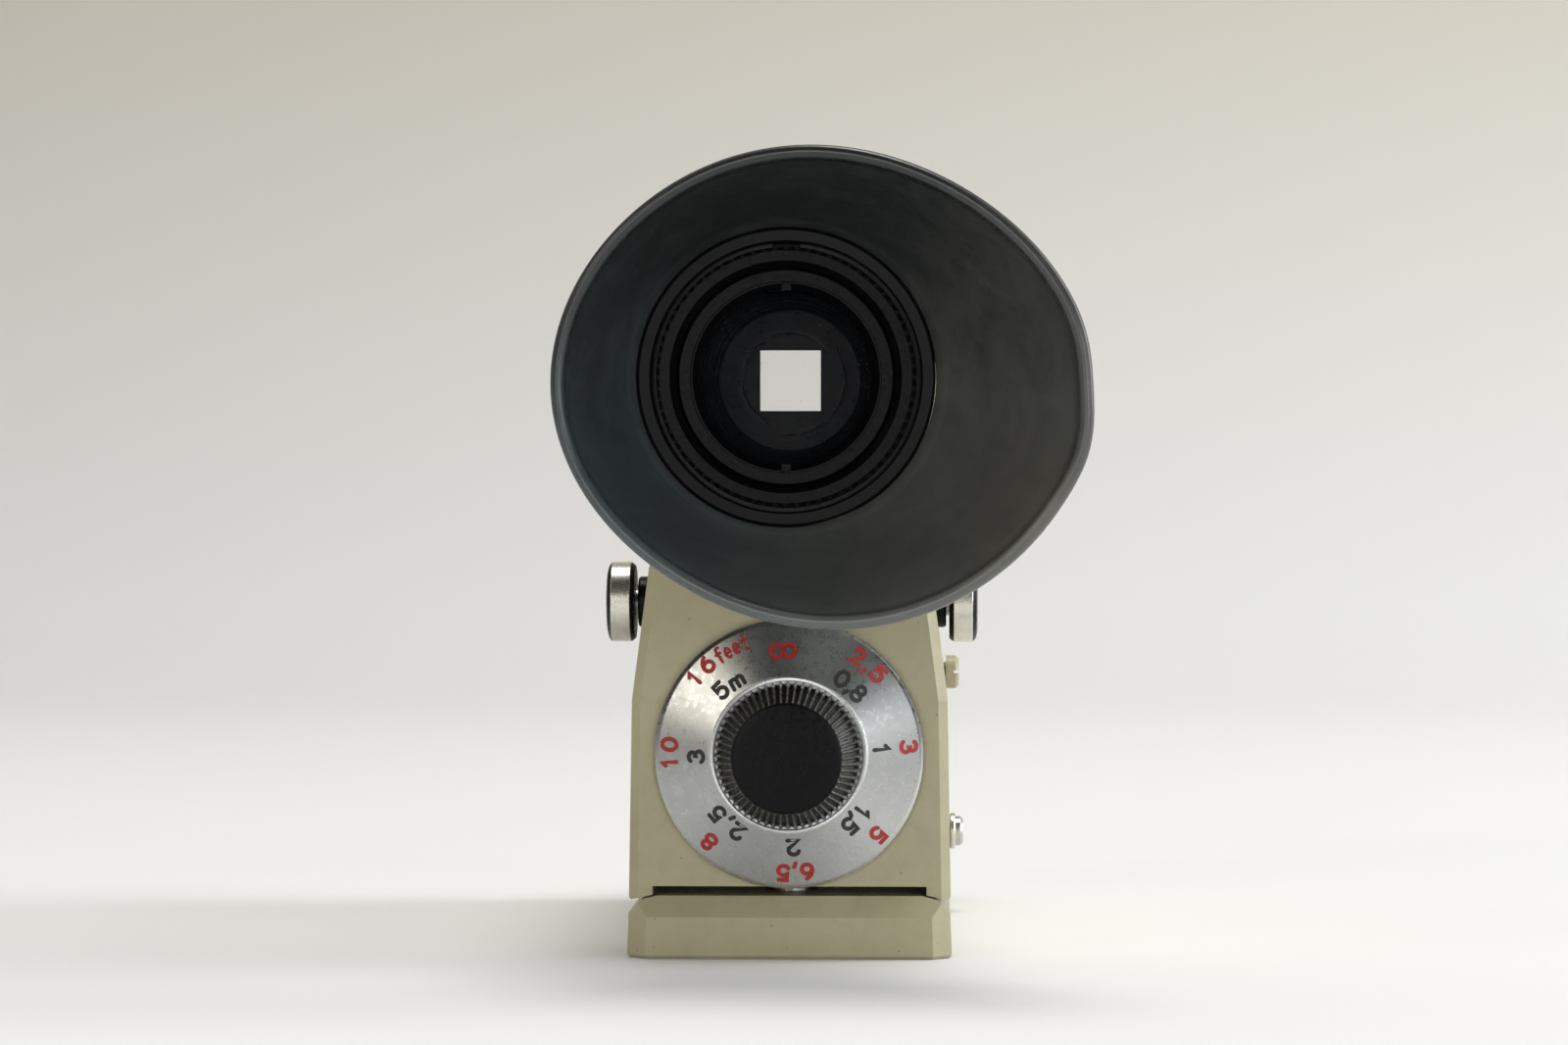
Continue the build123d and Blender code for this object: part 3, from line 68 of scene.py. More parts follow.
# ---------------------------------------------------------------- finishes
class Finish:
    """A procedural material: one Principled shader, and short helpers to wire its nodes."""

    def __init__(self, name, **sockets):
        self.material = bpy.data.materials.new(name)
        self.material.use_nodes = True
        self.tree = self.material.node_tree
        self.shader = self.tree.nodes["Principled BSDF"]
        for socket, value in sockets.items():
            self.shader.inputs[socket.replace("_", " ")].default_value = value
        self.place = self.node("ShaderNodeTexCoord").outputs["Object"]

    def node(self, kind, **values):
        made = self.tree.nodes.new(kind)
        for key, value in values.items():
            setattr(made, key, value)
        return made

    def feed(self, socket, value):
        """Connects an output, or sets a plain number or colour."""
        if isinstance(value, bpy.types.NodeSocket):
            self.tree.links.new(value, socket)
        else:
            socket.default_value = value

    def into(self, socket_name, value):
        self.feed(self.shader.inputs[socket_name], value)

    def stretch(self, scale):
        """The object's coordinates, scaled along each axis."""
        made = self.node("ShaderNodeMapping")
        self.feed(made.inputs["Vector"], self.place)
        made.inputs["Scale"].default_value = scale
        return made.outputs["Vector"]

    def noise(self, size, detail=3.0, roughness=0.55, distortion=0.0, place=None):
        """Cloudy noise whose features are about `size` metres across."""
        made = self.node("ShaderNodeTexNoise")
        self.feed(made.inputs["Vector"], place or self.place)
        made.inputs["Scale"].default_value = 1 / size
        made.inputs["Detail"].default_value = detail
        made.inputs["Roughness"].default_value = roughness
        made.inputs["Distortion"].default_value = distortion
        return made.outputs["Fac"]

    def specks(self, size, spread):
        """1 inside small scattered round specks of about `size`, spaced about `spread` apart."""
        made = self.node("ShaderNodeTexVoronoi")
        self.feed(made.inputs["Vector"], self.place)
        made.inputs["Scale"].default_value = 1 / spread
        return self.ramp(made.outputs["Distance"], (size / spread * 0.5, 1.0), (size / spread, 0.0))

    def ramp(self, value, *stops):
        made = self.node("ShaderNodeValToRGB")
        self.feed(made.inputs["Fac"], value)
        elements = made.color_ramp.elements
        while len(elements) < len(stops):
            elements.new(0.5)
        for element, (place, shade) in zip(elements, sorted(stops, key=lambda s: s[0])):
            element.position = place
            element.color = shade if isinstance(shade, tuple) else (shade, shade, shade, 1.0)
        return made.outputs["Color"]

    def mix(self, share, first, second):
        made = self.node("ShaderNodeMix", data_type="RGBA")
        self.feed(made.inputs[0], share)
        self.feed(made.inputs[6], first)
        self.feed(made.inputs[7], second)
        return made.outputs[2]

    def sum(self, operation, first, second=0.0, clamp=False):
        made = self.node("ShaderNodeMath", operation=operation, use_clamp=clamp)
        self.feed(made.inputs[0], first)
        self.feed(made.inputs[1], second)
        return made.outputs[0]

    def bump(self, height, distance, strength=1.0, below=None):
        made = self.node("ShaderNodeBump")
        self.feed(made.inputs["Height"], height)
        made.inputs["Distance"].default_value = distance
        made.inputs["Strength"].default_value = strength
        if below:
            self.feed(made.inputs["Normal"], below)
        return made.outputs["Normal"]

def enamel():
    """Half-gloss baked enamel over a casting: faint orange peel, handling grime, a few dark specks."""
    f = Finish("grey_beige_enamel", Roughness=0.42, IOR=1.47, Coat_Weight=0.15, Coat_Roughness=0.3)
    cloud = f.noise(9 * MM, 4)
    base = f.ramp(cloud, (0.3, (0.395, 0.360, 0.222, 1)), (0.75, (0.445, 0.408, 0.260, 1)))
    grime = f.ramp(f.noise(2.4 * MM, 6, 0.65, 0.6), (0.46, 0.0), (0.78, 0.32))
    base = f.mix(grime, base, (0.29, 0.255, 0.145, 1))
    specks = f.specks(0.16 * MM, 2.4 * MM)
    base = f.mix(f.sum("MULTIPLY", specks, 0.55), base, (0.12, 0.10, 0.07, 1))
    f.into("Base Color", base)
    f.into("Roughness", f.ramp(f.noise(1.6 * MM, 5), (0.3, 0.33), (0.75, 0.52)))
    peel = f.noise(0.55 * MM, 2, 0.4)
    f.into("Normal", f.bump(peel, 0.012 * MM, 0.55))
    return f.material


def black_metal(name, shade, rough, metallic, gloss=0.5):
    """Blackened or anodised metal, with dust in patches."""
    f = Finish(name, Metallic=metallic, Roughness=rough, Specular_IOR_Level=gloss)
    dust = f.ramp(f.noise(1.1 * MM, 6, 0.7), (0.5, 0.0), (0.85, 0.5))
    lighter = tuple(min(1.0, c * 1.8 + 0.003) for c in shade[:3]) + (1.0,)
    f.into("Base Color", f.mix(dust, shade, lighter))
    f.into("Roughness", f.ramp(f.noise(0.5 * MM, 4), (0.3, rough * 0.8), (0.8, min(1.0, rough * 1.35))))
    return f.material


def bright_metal(name, shade, rough, stretched=(1, 1, 1)):
    """Machined metal: grain drawn out along the cut, faint stains."""
    f = Finish(name, Metallic=1.0, Roughness=rough)
    streaks = f.noise(0.1 * MM, 3, 0.6, 0, f.stretch(stretched))
    stain = f.ramp(f.noise(1.5 * MM, 5, 0.65), (0.45, 0.0), (0.85, 0.45))
    dull = tuple(c * 0.62 for c in shade[:3]) + (1.0,)
    f.into("Base Color", f.mix(stain, shade, dull))
    f.into("Roughness", f.ramp(streaks, (0.3, rough * 0.75), (0.75, rough * 1.5)))
    f.into("Normal", f.bump(streaks, 0.003 * MM, 0.5))
    return f.material


def rubber():
    """Old black rubber: grey bloom with painted light, lighter towards the bottom and right of the cup and
    tinted cool at the left and warm at the right; dust specks, scuffs, an uneven surface.
    """
    f = Finish("eyecup_rubber", Roughness=0.48, IOR=1.5)
    cloud = f.noise(7 * MM, 5, 0.6, 0.8)
    parts = f.node("ShaderNodeSeparateXYZ")
    f.feed(parts.inputs[0], f.place)
    # grey bloom with painted light: lighter towards the bottom and right of the cup, where the light falls,
    # and tinted from blue-grey at the left to olive at the right as painted light colour
    low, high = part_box("eyecup")
    # painted light from above and the right: this share rises towards the bottom and right of the cup
    lower_right_light_ramp = f.sum("MULTIPLY_ADD", parts.outputs["X"], 3.0)
    lower_right_light_ramp.node.inputs[2].default_value = 0.42 + 17 * (low[2] + high[2]) / 2
    lower_right_light_ramp = f.sum("SUBTRACT", lower_right_light_ramp, f.sum("MULTIPLY", parts.outputs["Z"], 17.0))
    wander = f.sum("MULTIPLY", f.sum("SUBTRACT", cloud, 0.5), 0.5)
    painted_light_and_bloom_share = f.ramp(f.sum("ADD", lower_right_light_ramp, wander), (0.1, 0.0), (0.9, 1.0))
    # painted light colour: the bloom is tinted blue-grey at the left of the cup and olive at its right
    side = f.sum("MULTIPLY_ADD", parts.outputs["X"], 25.0, clamp=True)
    side.node.inputs[2].default_value = 0.45
    bloom_and_light_tint = f.mix(side, (0.092, 0.118, 0.124, 1), (0.135, 0.134, 0.118, 1))
    base = f.mix(painted_light_and_bloom_share, (0.018, 0.0215, 0.0215, 1), bloom_and_light_tint)
    scuffs = f.ramp(f.noise(0.9 * MM, 6, 0.75, 1.5), (0.60, 0.0), (0.80, 0.35))
    base = f.mix(scuffs, base, (0.11, 0.108, 0.098, 1))
    dust = f.sum("MULTIPLY", f.specks(0.08 * MM, 3.4 * MM), 0.55)
    base = f.mix(dust, base, (0.30, 0.29, 0.27, 1))
    f.into("Base Color", base)
    rough = f.ramp(f.noise(2.0 * MM, 5, 0.6), (0.3, 0.40), (0.75, 0.60))
    bead = f.node("ShaderNodeAttribute", attribute_name="bead").outputs["Fac"]
    f.into("Roughness", f.mix(bead, rough, (0.27, 0.27, 0.27, 1)))
    fine = f.noise(0.16 * MM, 3, 0.6)
    broad = f.noise(3.0 * MM, 2)
    f.into("Normal", f.bump(fine, 0.006 * MM, 0.4, f.bump(broad, 0.10 * MM, 0.30)))
    return f.material


def optical_glass(name, tint):
    """Coated glass that light passes straight through, with a weak coloured reflection and some dust."""
    f = Finish(name, Roughness=0.02, IOR=1.3)
    dust = f.specks(0.09 * MM, 1.7 * MM)
    f.into("Base Color", f.mix(dust, tint, (0.16, 0.14, 0.12, 1)))
    f.into("Alpha", f.ramp(dust, (0.0, 0.02), (1.0, 0.5)))
    return f.material


def knob_plastic(milled=False):
    """Black half-gloss finish with fine scratches; on the milled knob its crests are rubbed bright."""
    f = Finish("knob_black_milled" if milled else "knob_black", Roughness=0.26, Specular_IOR_Level=0.14)
    wear = f.ramp(f.noise(0.35 * MM, 5, 0.7), (0.55, 0.0), (0.8, 0.5))
    base = f.mix(wear, (0.0025, 0.0028, 0.004, 1), (0.006, 0.006, 0.0065, 1))
    if milled:
        crest = f.node("ShaderNodeAttribute", attribute_name="crest").outputs["Fac"]
        rubbed = f.ramp(f.sum("MULTIPLY", crest, f.noise(0.9 * MM, 4, 0.6)), (0.14, 0.0), (0.42, 0.9))
        base = f.mix(rubbed, base, (0.42, 0.41, 0.38, 1))
        f.into("Metallic", rubbed)
    f.into("Base Color", base)
    f.into("Roughness", f.ramp(f.noise(0.6 * MM, 4), (0.3, 0.22), (0.8, 0.42)))
    f.into("Normal", f.bump(f.noise(0.1 * MM, 2), 0.003 * MM, 0.4))
    return f.material


def dial_metal():
    """Face-turned aluminium: circular grooves, so that lights draw radial streaks; small pits and tarnish."""
    f = Finish("turned_dial", Metallic=1.0, Roughness=0.32, Anisotropic=0.92)
    tangent = f.node("ShaderNodeTangent", direction_type="RADIAL", axis="Y")
    f.into("Tangent", tangent.outputs["Tangent"])
    tarnish = f.ramp(f.noise(2.2 * MM, 6, 0.65), (0.45, 0.0), (0.8, 0.3))
    base = f.mix(tarnish, (0.54, 0.55, 0.54, 1), (0.41, 0.43, 0.425, 1))
    pits = f.sum("MULTIPLY", f.specks(0.10 * MM, 2.6 * MM), 0.6)
    base = f.mix(pits, base, (0.10, 0.09, 0.08, 1))
    f.into("Base Color", base)
    f.into("Roughness", f.ramp(f.noise(0.7 * MM, 5), (0.3, 0.24), (0.75, 0.36)))
    return f.material


def figure_paint(name, shade, worn):
    """Paint run into the engraved figures, and uneven; darkened along their cut edges as painted shade."""
    f = Finish(name, Roughness=0.5, IOR=1.5)
    base = f.mix(f.ramp(f.noise(0.3 * MM, 4), (0.4, 0.0), (0.75, 0.8)), shade, worn)
    edge_shade_fade = f.node("ShaderNodeAttribute", attribute_name="edge_shade_fade").outputs["Fac"]
    # painted shade along the engraving's cut edges: the paint's colour at 0.3 of its strength, fading out
    # towards the stroke's middle
    edge_shade_colour = tuple(c * 0.3 for c in shade[:3]) + (1.0,)
    f.into("Base Color", f.mix(f.ramp(edge_shade_fade, (0.15, 0.0), (0.6, 1.0)), edge_shade_colour, base))
    f.into("Normal", f.bump(f.noise(0.12 * MM, 2), 0.006 * MM, 0.6))
    return f.material


FINISHES = {
    "enamel": enamel(),
    "black_enamel": black_metal("black_enamel", (0.0035, 0.0036, 0.004, 1), 0.42, 0.0, gloss=0.2),
    "black_anodised": black_metal("black_anodised", (0.0020, 0.0022, 0.0026, 1), 0.32, 0.0, gloss=0.17),
    "turned_aluminium": dial_metal(),
    "bright_aluminium": bright_metal("bright_aluminium", (0.73, 0.71, 0.63, 1), 0.26, (0.4, 3, 3)),
    "brass": bright_metal("brass", (0.66, 0.49, 0.20, 1), 0.28),
    "steel": bright_metal("steel", (0.50, 0.50, 0.49, 1), 0.30),
    "screw_steel": bright_metal("screw_steel", (0.60, 0.585, 0.55, 1), 0.27),
    "spring_steel": bright_metal("spring_steel", (0.36, 0.36, 0.37, 1), 0.35),
    "black_steel": black_metal("black_steel", (0.016, 0.018, 0.020, 1), 0.34, 0.6),
    "optical_glass": optical_glass("optical_glass", (0.10, 0.12, 0.16, 1)),
    "knob_black": knob_plastic(),
    "rubber": rubber(),
}
for sub in frame["record"]["subparts"]:
    node = frame["nodes"][sub["node"]]
    finish = FINISHES[sub["material_slot"]]
    if node.material_slots:
        for place in node.material_slots:
            place.material = finish
    else:
        node.data.materials.append(finish)


# ---------------------------------------------------------------- mesh helpers
def grid_faces(rows, columns, wrap_rows=False, wrap_columns=True):
    """Quads over rows of points, closed round each row and, where asked, from the last row to the first."""
    faces = []
    for row in range(rows if wrap_rows else rows - 1):
        here, there = row * columns, (row + 1) % rows * columns
        for column in range(columns if wrap_columns else columns - 1):
            beside = (column + 1) % columns
            faces.append((here + column, here + beside, there + beside, there + column))
    return faces


def make_piece(name, points, faces, body, finish, sharp=35, replaces=(), marks=None):
    """A mesh piece from points in millimetres, riding on a body; marks are values for its material."""
    mesh = bpy.data.meshes.new(name)
    mesh.from_pydata([(x * MM, y * MM, z * MM) for x, y, z in points], [], faces)
    work = bmesh.new()
    work.from_mesh(mesh)
    bmesh.ops.recalc_face_normals(work, faces=work.faces)
    work.to_mesh(mesh)
    work.free()
    mesh.polygons.foreach_set("use_smooth", [True] * len(mesh.polygons))
    mesh.set_sharp_from_angle(angle=radians(sharp))
    for mark, values in (marks or {}).items():
        mesh.attributes.new(mark, "FLOAT", "POINT").data.foreach_set("value", values)
    mesh.materials.append(finish)
    made = bpy.data.objects.new(name, mesh)
    bpy.context.collection.objects.link(made)
    if body:
        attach(made, body)
    if replaces:
        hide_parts(*replaces)
    return made


def turned(profile, x, z, segments):
    """Points of a closed section of (y, radius) turned about a fore-and-aft axis, and their faces."""
    turns = [2 * pi * k / segments for k in range(segments)]
    points = [(x + r * cos(a), y, z + r * sin(a)) for y, r in profile for a in turns]
    return points, grid_faces(len(profile), segments, wrap_rows=True)


def arc(cx, cy, rx, ry, start, end, steps=12):
    """Points along part of an ellipse, angles in degrees."""
    turns = [radians(start + (end - start) * k / steps) for k in range(steps + 1)]
    return [(cx + rx * cos(a), cy + ry * sin(a)) for a in turns]


# ---------------------------------------------------------------- rubber eyecup
CUP_LEAN, CUP_ROLL = radians(8.3), radians(-7.7)
CUP_LONG, CUP_SHORT = 27.4, 23.8      # half-axes of the flare's outside at the mouth
CUP_DEPTH, CUP_WALL = 20.0, 1.3
COLLAR_R, COLLAR_LENGTH = 17.4, 10.0
LIP_R, LIP_OUT = 0.74, 0.5            # the bead's own radius, and how far it stands out
HUMP_SPREAD = 90                      # square degrees, for the unevenness at the far right
FLARE_ROWS, CUP_SEGMENTS = 30, 192


def eyecup():
    """Winged cup: collar, flare that widens to one side, and a rounded bead round its mouth."""
    low, high = span("eyecup")
    barrel_low, barrel_high = span("eyepiece_barrel")
    axis_z = (barrel_low.z + barrel_high.z) / 2
    bore = (barrel_high.x - barrel_low.x) / 2 + 0.05
    start = Vector((0, barrel_low.y, axis_z))
    mouth = Vector(((low.x + high.x) / 2, barrel_low.y - CUP_DEPTH, (low.z + high.z) / 2))

    def hump(turn, middle):
        """1 in the direction of `middle` degrees, and falling away on both sides of it."""
        return exp(-((degrees(turn) + 180 - middle) % 360 - 180) ** 2 / HUMP_SPREAD)

    def point(share, out, along, turn):
        """At a share of the way to the mouth: out from the wall, and along towards the eye."""
        lean = CUP_LEAN * share
        across = Vector((cos(lean), -sin(lean), 0))
        ahead = Vector((-sin(lean), -cos(lean), 0))
        ease = share ** 0.8
        # an uneven, slightly squared mouth, worn flat at the far right
        uneven = 0.2 * cos(4 * turn - radians(60))
        uneven -= 0.28 * hump(turn, 10)
        uneven += 0.25 * hump(turn, -8)
        grow = out + uneven * share ** 3
        long_x = (COLLAR_R + (CUP_LONG - COLLAR_R) * ease + grow) * cos(turn)
        short_x = (COLLAR_R + (CUP_SHORT - COLLAR_R) * ease + grow) * sin(turn)
        sideways = long_x * cos(CUP_ROLL) - short_x * sin(CUP_ROLL)
        upwards = long_x * sin(CUP_ROLL) + short_x * cos(CUP_ROLL)
        place = start.lerp(mouth, share) + across * sideways + ahead * along
        return (place.x, place.y, place.z + upwards)

    inner = bore - COLLAR_R
    section = [(0, inner, -COLLAR_LENGTH), (0, inner, -COLLAR_LENGTH / 2), (0, inner, -0.6),
               (0, inner + 0.05, 0)]
    shares = [k / FLARE_ROWS for k in range(1, FLARE_ROWS + 1)]
    section += [(0.02 + 0.93 * share ** 1.2, -CUP_WALL + 0.35 * share ** 6, 0) for share in shares]
    lip = LIP_OUT - LIP_R
    bead_turns = [radians(188 - 14.5 * k) for k in range(17)]
    section += [(1, lip + LIP_R * cos(a), LIP_R * sin(a)) for a in bead_turns]
    section += [(0.97 * (1 - k / 20) + 0.01, 0, 0) for k in range(20)]
    section += [(0, 0, -0.4), (0, 0, -COLLAR_LENGTH + 0.5), (0, -0.15, -COLLAR_LENGTH + 0.15),
                (0, -0.5, -COLLAR_LENGTH)]
    turns = [2 * pi * k / CUP_SEGMENTS for k in range(CUP_SEGMENTS)]
    points = [point(*place, turn) for place in section for turn in turns]
    faces = grid_faces(len(section), len(turns), wrap_rows=True)
    # the bead is rubbed smooth by use
    beads = [1.0 if share == 1 else 0.0 for share, _, _ in section for _ in turns]
    make_piece("eyecup_rubber", points, faces, "eyecup", FINISHES["rubber"], 60, ["eyecup"],
               {"bead": beads})


# ---------------------------------------------------------------- distance dial
DISC_RIM, DISC_LAND, DISC_BORE = 0.6, 0.22, 2.6
DISC_ROWS, DISC_SEGMENTS = 24, 240
FIGURE_STROKE, LETTER_STROKE = 0.44, 0.31


def disc_shape():
    """Axis height, back, front, outer radius and knob radius of the dial's disc."""
    low, high = span("dial_scale")
    knob_low, knob_high = span("dial_knob")
    return (low.z + high.z) / 2, high.y, low.y, (high.x - low.x) / 2, (knob_high.x - knob_low.x) / 2


def dial_disc():
    """Cone-faced disc with broken edges, and a narrow land round the knob."""
    axis_z, back, front, rim_r, knob_r = disc_shape()
    profile = [
        (back, DISC_BORE), (back, rim_r - 0.15), (back - 0.12, rim_r), (back - DISC_RIM + 0.14, rim_r),
        (back - DISC_RIM + 0.04, rim_r - 0.04), (back - DISC_RIM - 0.04, rim_r - 0.16),
    ]
    inner_r = knob_r + DISC_LAND
    for k in range(1, DISC_ROWS + 1):
        share = k / DISC_ROWS
        profile.append((back - DISC_RIM + (front - back + DISC_RIM) * share,
                        rim_r + (inner_r - rim_r) * share))
    profile += [(front - 0.01, inner_r - 0.06), (front - 0.01, knob_r - 0.1), (front + 0.5, knob_r - 0.2),
                (front + 0.5, DISC_BORE)]
    points, faces = turned(profile, 0, axis_z, DISC_SEGMENTS)
    make_piece("dial_disc", points, faces, "dial", FINISHES["turned_aluminium"], 25,
               ["dial_scale"])


# Figures as pen strokes about their own centre, in millimetres: a figure is 2 mm high over its strokes
GLYPHS = {
    "0": [arc(0, 0, 0.60, 0.80, 90, 450, 24)],
    "1": [[(-0.34, 0.42), (0.02, 0.80), (0.02, -0.80)]],
    "2": [arc(0, 0.30, 0.56, 0.50, 165, -32, 14) + [(-0.58, -0.80), (0.62, -0.80)]],
    "3": [arc(-0.04, 0.40, 0.50, 0.40, 150, -80, 12) + arc(-0.04, -0.34, 0.60, 0.46, 80, -152, 14)],
    "5": [[(0.50, 0.80), (-0.40, 0.80), (-0.48, 0.06)] + arc(-0.02, -0.26, 0.58, 0.54, 128, -148, 16)],
    "6": [arc(0.62, -0.26, 1.18, 1.12, 112, 180, 8) + arc(0, -0.28, 0.56, 0.52, 180, 540, 24)],
    "8": [arc(0, 0.40, 0.46, 0.40, -90, 270, 20), arc(0, -0.40, 0.58, 0.42, 90, 450, 24)],
    ",": [[(0.10, -0.66), (-0.10, -1.06)]],
    "~": [arc(-0.68, 0, 0.66, 0.70, 0, 360, 24), arc(0.68, 0, 0.66, 0.70, 180, 540, 24)],
    "f": [arc(0.20, 0.58, 0.24, 0.34, 55, 180, 8) + [(-0.04, -0.74)], [(-0.28, 0.26), (0.24, 0.26)]],
    "e": [[(-0.26, -0.20), (0.28, -0.18)] + arc(0, -0.20, 0.28, 0.52, 8, 305, 14)],
    "t": [[(0, 0.76), (-0.03, -0.48)] + arc(0.20, -0.48, 0.23, 0.26, 180, 290, 6),
          [(-0.26, 0.26), (0.26, 0.26)]],
    "m": [[(-0.66, 0.26), (-0.72, -0.72)],
          arc(-0.34, -0.06, 0.34, 0.32, 178, 10, 8) + [(-0.04, -0.72)],
          arc(0.34, -0.06, 0.34, 0.32, 178, 10, 8) + [(0.64, -0.72)]],
}
# colour, distance from the axis, degrees clockwise from the top, spacing of the characters, characters
FIGURES = [
    ("red", 11.2, -3, 0, "~"),
    ("red", 12.95, 41.5, 1.46, "2,5"), ("black", 10.05, 41.8, 1.18, "0,8"),
    ("red", 12.95, 86.3, 0, "3"), ("black", 10.05, 86.3, 0, "1"),
    ("red", 12.95, 131.8, 0, "5"), ("black", 10.05, 133.2, 0.98, "1,5"),
    ("red", 12.8, 176.8, 1.30, "6,5"), ("black", 9.95, 176.8, 0, "2"),
    ("red", 12.8, 222.3, 0, "8"), ("black", 9.9, 221.8, 1.45, "2,5"),
    ("red", 12.95, 270.3, 1.95, "10"), ("black", 9.95, 269.0, 0, "3"),
    ("red", 13.1, 313.3, 2.0, "16"), ("red", 12.95, 331.4, 1.02, "feet"),
    ("black", 10.05, 313.6, 0, "5"), ("black", 9.8, 325.2, 0, "m"),
]


def ribbon(stroke, width):
    """Cross-lines of a pen stroke with round ends: (middle, sideways direction, half-width)."""
    steps = []
    for k, (x, y) in enumerate(stroke):
        before, after = stroke[max(k - 1, 0)], stroke[min(k + 1, len(stroke) - 1)]
        one, two = Vector((x - before[0], y - before[1])), Vector((after[0] - x, after[1] - y))
        one = (one if one.length else two).normalized()
        two = (two if two.length else one).normalized()
        ahead = (one + two).normalized()
        mitre = min(1.5, 1 / max(0.5, ahead.dot(one)))
        steps.append(((x, y), Vector((-ahead.y, ahead.x)), width / 2 * mitre, ahead))
    if hypot(stroke[0][0] - stroke[-1][0], stroke[0][1] - stroke[-1][1]) < 0.001:
        return [step[:3] for step in steps]
    ends = []
    for (x, y), side, half, ahead, sign in (steps[0] + (-1,), steps[-1] + (1,)):
        cap = []
        for turn in (80, 60, 40, 20):
            reach = sign * half * sin(radians(turn))
            cap.append(((x + ahead.x * reach, y + ahead.y * reach), side, half * cos(radians(turn))))
        ends.append(cap)
    return ends[0] + [step[:3] for step in steps] + ends[1][::-1]


def dial_figures():
    """Red feet and black metres, engraved into the cone and filled with paint."""
    axis_z, back, front, rim_r, knob_r = disc_shape()
    inner_r = knob_r + DISC_LAND
    slope = (back - DISC_RIM - front) / (rim_r - inner_r)
    # across each stroke: share of the half-width, height over the metal, and the fade of the painted edge
    # shade, 0 at the cut edges where the paint is painted darkest, 1 in the middle
    across = ((-1.06, -0.02, 0.0), (-1.0, 0.03, 0.2), (-0.6, 0.012, 0.8), (0, 0.008, 1.0),
              (0.6, 0.012, 0.8), (1.0, 0.03, 0.2), (1.06, -0.02, 0.0))
    inks = {"red": ([], [], []), "black": ([], [], [])}
    for ink, radius, angle, spacing, text in FIGURES:
        points, faces, edge_shade_fades = inks[ink]
        gaps = [0] if len(text) == 1 else [spacing * (k - (len(text) - 1) / 2) for k in range(len(text))]
        for character, gap in zip(text, gaps):
            turn = radians(angle) + gap / radius
            out, along = Vector((sin(turn), cos(turn))), Vector((cos(turn), -sin(turn)))
            for stroke in GLYPHS[character]:
                lines = ribbon(stroke, LETTER_STROKE if character in "fet" else FIGURE_STROKE)
                first = len(points)
                for (x, y), side, half in lines:
                    for share, height, edge_shade_fade in across:
                        fx, fy = x + side.x * half * share, y + side.y * half * share
                        place = out * (radius + fy) + along * fx
                        surface = front + slope * (place.length - inner_r)
                        points.append((place.x, surface - height, axis_z + place.y))
                        edge_shade_fades.append(edge_shade_fade)
                faces += [tuple(first + i for i in face)
                          for face in grid_faces(len(lines), len(across), wrap_columns=False)]
    shades = {"red": ((0.46, 0.022, 0.016, 1), (0.24, 0.02, 0.015, 1)),
              "black": ((0.010, 0.010, 0.010, 1), (0.045, 0.042, 0.038, 1))}
    for ink, (points, faces, edge_shade_fades) in inks.items():
        make_piece(f"dial_figures_{ink}", points, faces, "dial",
                   figure_paint(f"figure_{ink}", *shades[ink]), 50, marks={"edge_shade_fade": edge_shade_fades})


KNOB_FLUTES, FLUTE_DEPTH, FLUTE_STEPS = 60, 0.55, 8
KNOB_FACE_R = 5.9


def dial_knob():
    """Tapering knob, milled all round with sharp-crested flutes that run out at its face."""
    low, high = span("dial_knob")
    axis_z, base_r = (low.z + high.z) / 2, (high.x - low.x) / 2
    height, face_r = high.y - low.y, KNOB_FACE_R
    segments = KNOB_FLUTES * FLUTE_STEPS
    rows = [(0.0, base_r - 0.12, 0.9), (0.02, base_r, 1.0)]
    rows += [(share, base_r + (face_r + 0.12 - base_r) * share, 1.0 - 0.35 * share)
             for share in [0.06 + 0.86 * k / 10 for k in range(11)]]
    rows += [(0.955, face_r + 0.1, 0.35), (0.98, face_r + 0.02, 0.1), (0.995, face_r - 0.1, 0.0),
             (1.0, face_r - 0.3, 0.0), (1.0, face_r * 0.6, 0.0), (1.0, 0.4, 0.0)]
    points, crests = [], []
    for share, radius, cut in rows:
        for k in range(segments):
            turn = 2 * pi * k / segments
            valley = abs(sin(KNOB_FLUTES * turn / 2)) ** 0.8
            r = radius - FLUTE_DEPTH * cut * valley
            points.append((r * cos(turn), high.y - height * share, axis_z + r * sin(turn)))
            crests.append((1 - valley) * min(1, cut * 2))
    faces = grid_faces(len(rows), segments)
    for row in (0, len(rows) - 1):
        faces.append(tuple(range(row * segments, (row + 1) * segments)))
    make_piece("dial_knob_fluted", points, faces, "dial", knob_plastic(True), 50, ["dial_knob"],
               {"crest": crests})


# ---------------------------------------------------------------- return spring
SPRING_WIRE, SPRING_TURNS = 0.38, 15  # the wire's radius, and the number of coils
LOWER_LOOP_R, UPPER_LOOP_R = 1.3, 1.45
COIL_STEPS, WIRE_SIDES = 24, 10


